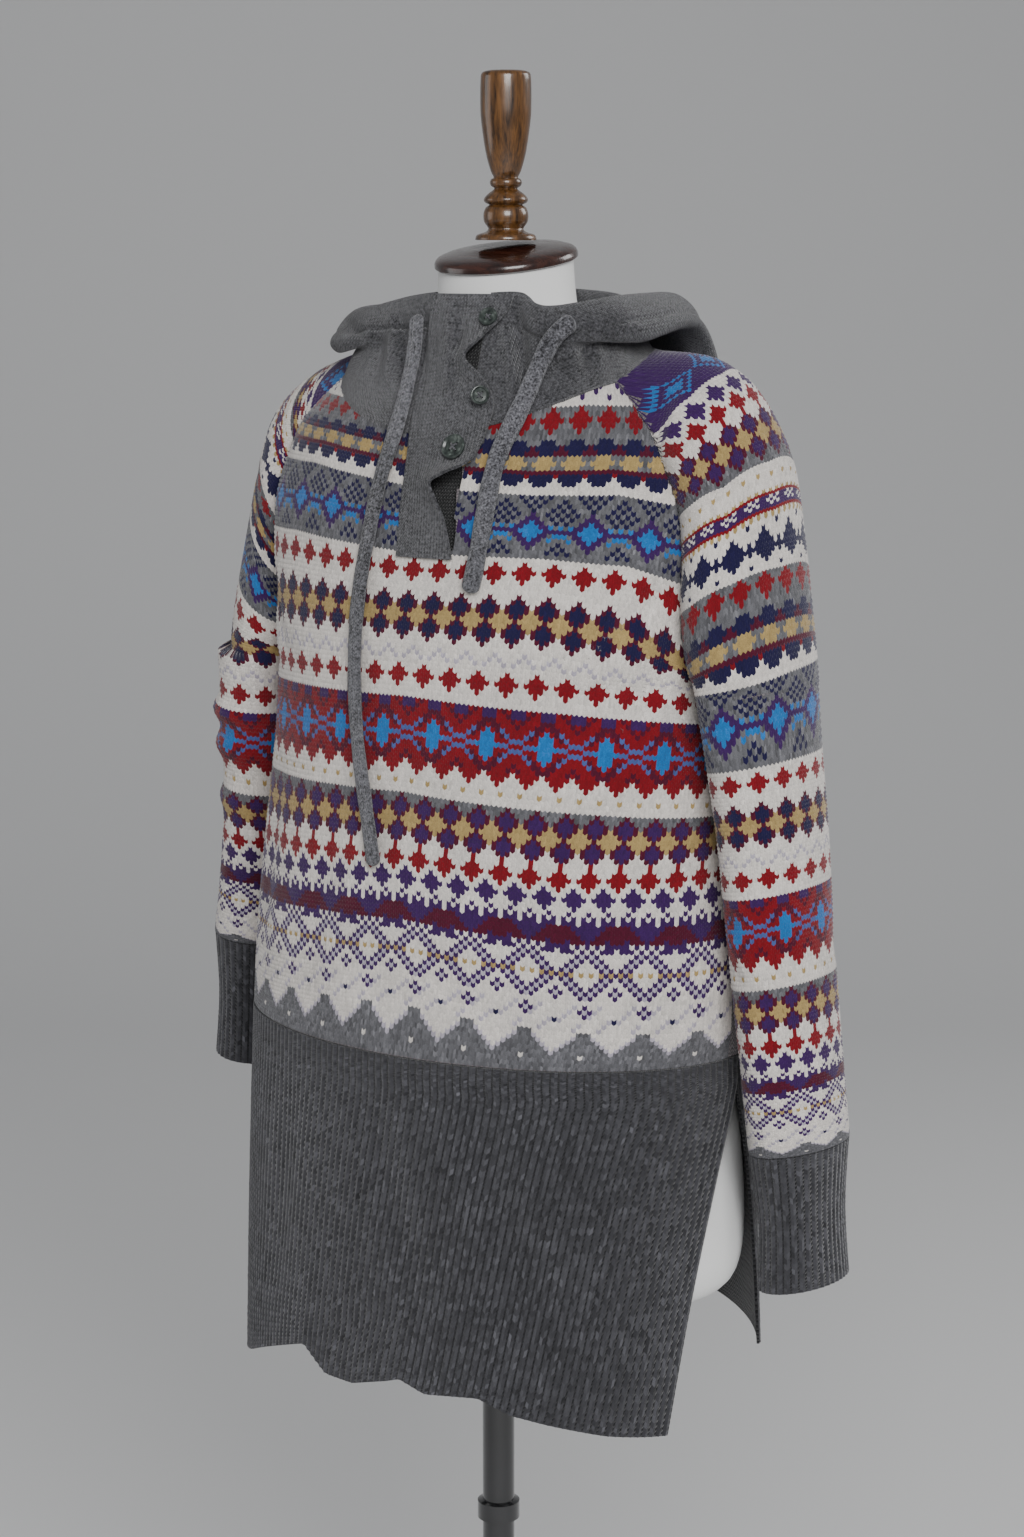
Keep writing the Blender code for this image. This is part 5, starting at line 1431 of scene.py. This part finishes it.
# ---------------------------------------------------------------- drawstrings
def flat_cord(name, node, route, knit_grey):
    """Flat tubular knit drawstring along its given route, with closed rounded tips."""
    rings, sides, tip = 150, 20, 0.005
    t_values = np.linspace(0, len(route) - 1, rings)
    path = curve_rows(route, t_values)
    ahead = unit(np.gradient(path, axis=0))
    out = path * np.array((1.0, 1.6, 0.0))
    out = unit(out - ahead * np.sum(out * ahead, axis=1, keepdims=True))
    side = np.cross(ahead, out)
    steps = np.concatenate([[0], np.cumsum(np.linalg.norm(np.diff(path, axis=0), axis=1))])
    shares = (np.clip(way / tip, 0, 1) for way in (steps, steps[-1] - steps))
    size = np.minimum(*(np.sqrt(np.clip(1 - (1 - share) ** 2, 0.02, 1)) for share in shares))
    swell = 1 + 0.03 * np.sin(steps * 95) + 0.02 * np.sin(steps * 231 + 1)
    angle = np.linspace(0, 2 * math.pi, sides, endpoint=False)
    flat = np.sign(np.cos(angle)) * np.abs(np.cos(angle)) ** 0.8 * CORD_WIDTH / 2
    thick = np.sin(angle) * CORD_THICKNESS / 2
    points = (path[:, None] + side[:, None] * (flat[None, :] * (size * swell)[:, None])[..., None]
              + out[:, None] * (thick[None, :] * size[:, None])[..., None])
    number = np.arange(rings * sides).reshape(rings, sides)
    around = np.roll(number, -1, axis=1)
    quads = np.stack([number[:-1], number[1:], around[1:], around[:-1]], axis=-1).reshape(-1, 4)
    flat_points = points.reshape(-1, 3)
    triangles = np.concatenate([quads[:, (0, 1, 2)], quads[:, (0, 2, 3)]])
    ends = []
    for ring, turn in ((number[0], 1), (number[-1], -1)):
        ends += [(ring[0], ring[k], ring[k + 1])[::turn] for k in range(1, sides - 1)]
    faces = np.concatenate([triangles, np.array(ends)])
    a, b, c = (flat_points[triangles[:, k]] for k in range(3))
    centre = path.repeat(sides, axis=0)[triangles[:, 0]]
    if np.sum(np.cross(b - a, c - a) * (a - centre)) < 0:
        faces = faces[:, ::-1]
    piece = new_piece(name, flat_points, faces, knit_grey)
    around = np.minimum(angle, 2 * math.pi - angle) / math.pi * CORD_WIDTH / FINE_STITCH
    pairs = np.broadcast_arrays(around[None, :], steps[:, None] / FINE_ROW)
    set_uv(piece, "Knit", np.stack(pairs, axis=2))
    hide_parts(node)


# ---------------------------------------------------------------- hard pieces, shaped by modelling tools
def edit(piece, selected=True):
    """Opens a piece in edit mode with everything selected or not."""
    bpy.ops.object.select_all(action="DESELECT")
    piece.select_set(True)
    bpy.context.view_layer.objects.active = piece
    bpy.ops.object.mode_set(mode="EDIT")
    bpy.ops.mesh.select_all(action="SELECT" if selected else "DESELECT")


def settle(piece, name, node, material, angle=40):
    """Applies a piece's place, smooths it, dresses it and lets it ride on the body."""
    bpy.ops.object.mode_set(mode="OBJECT")
    bpy.ops.object.transform_apply(location=True, rotation=True, scale=True)
    bpy.ops.object.shade_smooth_by_angle(angle=math.radians(angle))
    piece.name = name
    piece.data.materials.clear()
    piece.data.materials.append(material)
    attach(piece, "root")
    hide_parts(node)


def lofted(rings, columns):
    """A circle extruded and resized from the foot up. Each ring: half width, half depth, y, height."""
    bpy.ops.object.select_all(action="DESELECT")
    wide, deep, y, z = rings[0]
    bpy.ops.mesh.primitive_circle_add(vertices=columns, radius=1.0, fill_type="NGON", location=(0, 0, 0))
    piece = bpy.context.active_object
    edit(piece)
    bpy.ops.transform.resize(value=(wide, deep, 1), center_override=(0, 0, 0))
    bpy.ops.transform.translate(value=(0, y, z))
    for (w0, d0, y0, z0), (w1, d1, y1, z1) in zip(rings, rings[1:]):
        bpy.ops.mesh.extrude_region_move(TRANSFORM_OT_translate={"value": (0, y1 - y0, z1 - z0)})
        bpy.ops.transform.resize(value=(w1 / w0, d1 / d0, 1), center_override=(0, y1, z1))
    bpy.ops.mesh.select_all(action="SELECT")
    bpy.ops.mesh.normals_make_consistent(inside=False)
    return piece


def finer(profile, count):
    """A profile read on a smooth curve, count steps for each of its own."""
    t = np.linspace(0, len(profile) - 1, count * (len(profile) - 1) + 1)
    return [tuple(row) for row in curve_rows(profile, t)]


def build_form():
    """Limbless torso with its neck cut on a slant."""
    rings = []
    for z, wide, front, back, middle in finer(FORM, 3):
        rings.append((wide, (front + back) / 2, middle + (back - front) / 2, z))
    piece = lofted(rings, 96)
    bpy.ops.object.mode_set(mode="OBJECT")
    top = FORM[-1][0] - NECK_CUT_START
    for vertex in piece.data.vertices:
        tilt = max(0.0, (vertex.co.z - NECK_CUT_START) / top)
        vertex.co.z += tilt * math.tan(CAP_TILT) * vertex.co.y
    settle(piece, "form_cover", "dress_form", form_finish(), 50)


def build_stand():
    """Neck cap, finial, pole and base."""
    wood = wood_finish("turned_wood", srgb(38, 22, 9), srgb(112, 74, 34), 0.3, (260, 260, 26))
    dark = wood_finish("cap_wood", srgb(26, 12, 10), srgb(66, 34, 24), 0.24, (30, 220, 220))
    black = metal_finish()
    shape = ((0.92, -0.5), (0.97, -0.46), (1.0, -0.34), (1.0, -0.1), (0.985, 0.1), (0.95, 0.26), (0.86, 0.42),
             (0.68, 0.55), (0.46, 0.62), (0.44, 0.66))
    wide, deep = CAP_RADII
    cap = lofted([(wide * size, deep * size, 0.0, CAP_THICKNESS * height) for size, height in shape], 72)
    bpy.ops.object.mode_set(mode="OBJECT")
    centre = Vector(CAP_CENTRE) + Vector((0, 0, CAP_THICKNESS * 0.5 + 0.0003))
    cap.data.transform(Matrix.Translation(centre) @ Matrix.Rotation(CAP_TILT, 4, "X"))
    settle(cap, "cap", "neck_cap", dark)
    turned("finial_wood", "finial", finer(FINIAL, 3), CAP_CENTRE[1], SEAT_Z, wood)
    turned("pole", "stand_pole", POLE, 0.0, 0.0, black)
    turned("base", "stand_base", BASE, 0.0, 0.0, black, 96)


def turned(name, node, profile, y, base_z, material, columns=64):
    """A turned piece, from its profile of (radius, height), top first."""
    piece = lofted([(radius, radius, y, base_z + height) for radius, height in profile[::-1]], columns)
    settle(piece, name, node, material, 35)


def band_seat(x, z):
    """Point on the outside of the button band."""
    heights, edges, curls = zip(*FLAP_EDGE)
    edge_x, curl = np.interp(z, heights, edges), np.interp(z, heights, curls)
    share = min(max((x - PLACKET_LEFT) / (edge_x - PLACKET_LEFT), 0.0), 1.0)
    base = funnel_point(x, z)
    return base + unit(base * np.array((1, 1, 0))) * (BAND_OUT + curl * share * share)


def drill(piece, radius, places, depth):
    """Cuts round holes through a piece."""
    for x, y in places:
        bpy.ops.object.select_all(action="DESELECT")
        bpy.ops.mesh.primitive_cylinder_add(vertices=14, radius=radius, depth=depth, location=(x, y, 0))
        cutter = bpy.context.active_object
        cut = piece.modifiers.new("hole", "BOOLEAN")
        cut.operation = "DIFFERENCE"
        cut.object = cutter
        bpy.context.view_layer.objects.active = piece
        bpy.ops.object.modifier_apply(modifier=cut.name)
        bpy.data.objects.remove(cutter, do_unlink=True)


def build_buttons():
    """Three four-hole buttons, each sewn on with crossed thread."""
    resin = button_finish()
    thread = wool("sewing_thread")
    thread.colour(thread.ramp(thread.noise(900.0), [(0.3, srgb(58, 58, 62)), (0.7, srgb(102, 102, 106))]))
    profile = [(0.90, 0.0), (1.0, 0.0007), (1.0, 0.0019), (0.95, 0.0025), (0.86, 0.0026), (0.78, 0.0021),
               (0.70, 0.0015), (0.40, 0.0013), (0.10, 0.0013)]
    for number, (z, x, turn, radius, clear) in enumerate(BUTTONS, 1):
        piece = lofted([(radius * size, radius * size, 0, height) for size, height in profile], 48)
        bpy.ops.object.mode_set(mode="OBJECT")
        spread = radius * 0.26
        holes = [(a * spread, b * spread) for a in (-1, 1) for b in (-1, 1)]
        drill(piece, radius * 0.105, holes, 0.02)
        seat = band_seat(x, z)
        step = radius * 0.6
        across = band_seat(x + step, z) - band_seat(x - step, z)
        out = Vector(np.cross(across, band_seat(x, z + step) - band_seat(x, z - step))).normalized()
        facing = Matrix.Rotation(math.radians(turn), 3, "Z") @ out
        turn_to = facing.to_track_quat("Z", "Y").to_matrix().to_4x4()
        place = Matrix.Translation(Vector(seat) + out * clear) @ turn_to
        piece.data.transform(place)
        edit(piece)
        settle(piece, f"button_{number}_resin", f"button_{number}", resin, 30)
        sew_cross(f"button_{number}_thread", holes, radius, place, thread.material)


def sew_cross(name, holes, radius, place, material):
    """Two crossed threads over a button's holes."""
    rings, sides = 9, 8
    points, faces = [], []
    for strand, ((x0, y0), (x1, y1)) in enumerate(((holes[0], holes[3]), (holes[1], holes[2]))):
        ahead = Vector((x1 - x0, y1 - y0, 0)).normalized()
        side = Vector((-ahead.y, ahead.x, 0))
        base = len(points)
        for k in range(rings):
            share = k / (rings - 1)
            height = 0.0008 + 0.0013 * math.sin(math.pi * share) ** 0.6 + 0.0003 * strand
            middle = Vector((x0 + (x1 - x0) * share, y0 + (y1 - y0) * share, height))
            for m in range(sides):
                angle = 2 * math.pi * m / sides
                thick = Vector((0, 0, math.sin(angle))) * radius * 0.06
                points.append(tuple(place @ (middle + side * math.cos(angle) * radius * 0.085 + thick)))
        for k in range(rings - 1):
            for m in range(sides):
                n = (m + 1) % sides
                a, b = base + k * sides, base + (k + 1) * sides
                faces += [(a + m, b + m, b + n), (a + m, b + n, a + n)]
        for ring, turn in ((base, 1), (base + (rings - 1) * sides, -1)):
            faces += [(ring, ring + m + 1, ring + m)[::turn] for m in range(1, sides - 1)]
    piece = new_piece(name, points, faces, material)
    edit(piece)
    bpy.ops.mesh.normals_make_consistent(inside=False)
    bpy.ops.object.mode_set(mode="OBJECT")


# ---------------------------------------------------------------- floor and studio
STAGE = 40.0             # reach of the floor to each side and in front
SWEEP_START = 3.4        # where the floor behind the piece starts to bend up
SWEEP_RADIUS = 1.8
SWEEP_STEPS = 16
WALL_HEIGHT = 12
FLOOR_Z = -0.0005
SURROUNDINGS = (0.62, 0.63, 0.65, 1)
SURROUNDINGS_STRENGTH = 0.42


def lay_floor():
    """Pale floor that bends up into a plain wall far behind the piece."""
    bend = [math.radians(90 * i / SWEEP_STEPS) for i in range(SWEEP_STEPS + 1)]
    profile = [(-STAGE, 0)]
    profile += [(SWEEP_START + SWEEP_RADIUS * math.sin(a), SWEEP_RADIUS * (1 - math.cos(a))) for a in bend]
    profile += [(SWEEP_START + SWEEP_RADIUS, WALL_HEIGHT)]
    points = [(AHEAD[0] * far - AHEAD[1] * side, AHEAD[1] * far + AHEAD[0] * side, high + FLOOR_Z)
              for far, high in profile for side in (-STAGE, STAGE)]
    strips = [(2 * i + 1, 2 * i, 2 * i + 2, 2 * i + 3) for i in range(len(profile) - 1)]
    pale = Finish("pale_floor", Base_Color=(0.76, 0.76, 0.76, 1), Roughness=0.9).material
    new_piece("floor", points, strips, pale, rides=False)


def light_studio():
    """Soft grey surroundings and three large lamps."""
    world = bpy.data.worlds.new("studio")
    world.use_nodes = True
    inputs = world.node_tree.nodes["Background"].inputs
    inputs[0].default_value = SURROUNDINGS
    inputs[1].default_value = SURROUNDINGS_STRENGTH
    bpy.context.scene.world = world
    softbox("key", (2.2, -2.5, 2.7), (0, 0, 1.1), (1.7, 1.7), 118)
    softbox("fill", (-2.6, -1.6, 1.6), (0, 0, 1.1), (1.8, 1.8), 15)
    softbox("rim", (1.6, 2.4, 2.6), (0, 0, 1.2), (1.4, 1.4), 34)


aim_camera()
hood_knit = grey_knit_finish("heather_jersey", srgb(30, 30, 33), srgb(98, 98, 102), 0.0010)
cord_knit = grey_knit_finish("heather_cord", srgb(28, 28, 31), srgb(128, 128, 134), 0.0010)
flat_cord("drawstring_right_knit", "drawstring_right", DRAWSTRING_RIGHT, cord_knit)
flat_cord("drawstring_left_knit", "drawstring_left", DRAWSTRING_LEFT, cord_knit)
fair_isle = yarn_finish()
build_body(fair_isle)
build_ribs(fair_isle)
build_hood(hood_knit)
build_placket(hood_knit)
build_form()
build_stand()
build_buttons()
lay_floor()
light_studio()
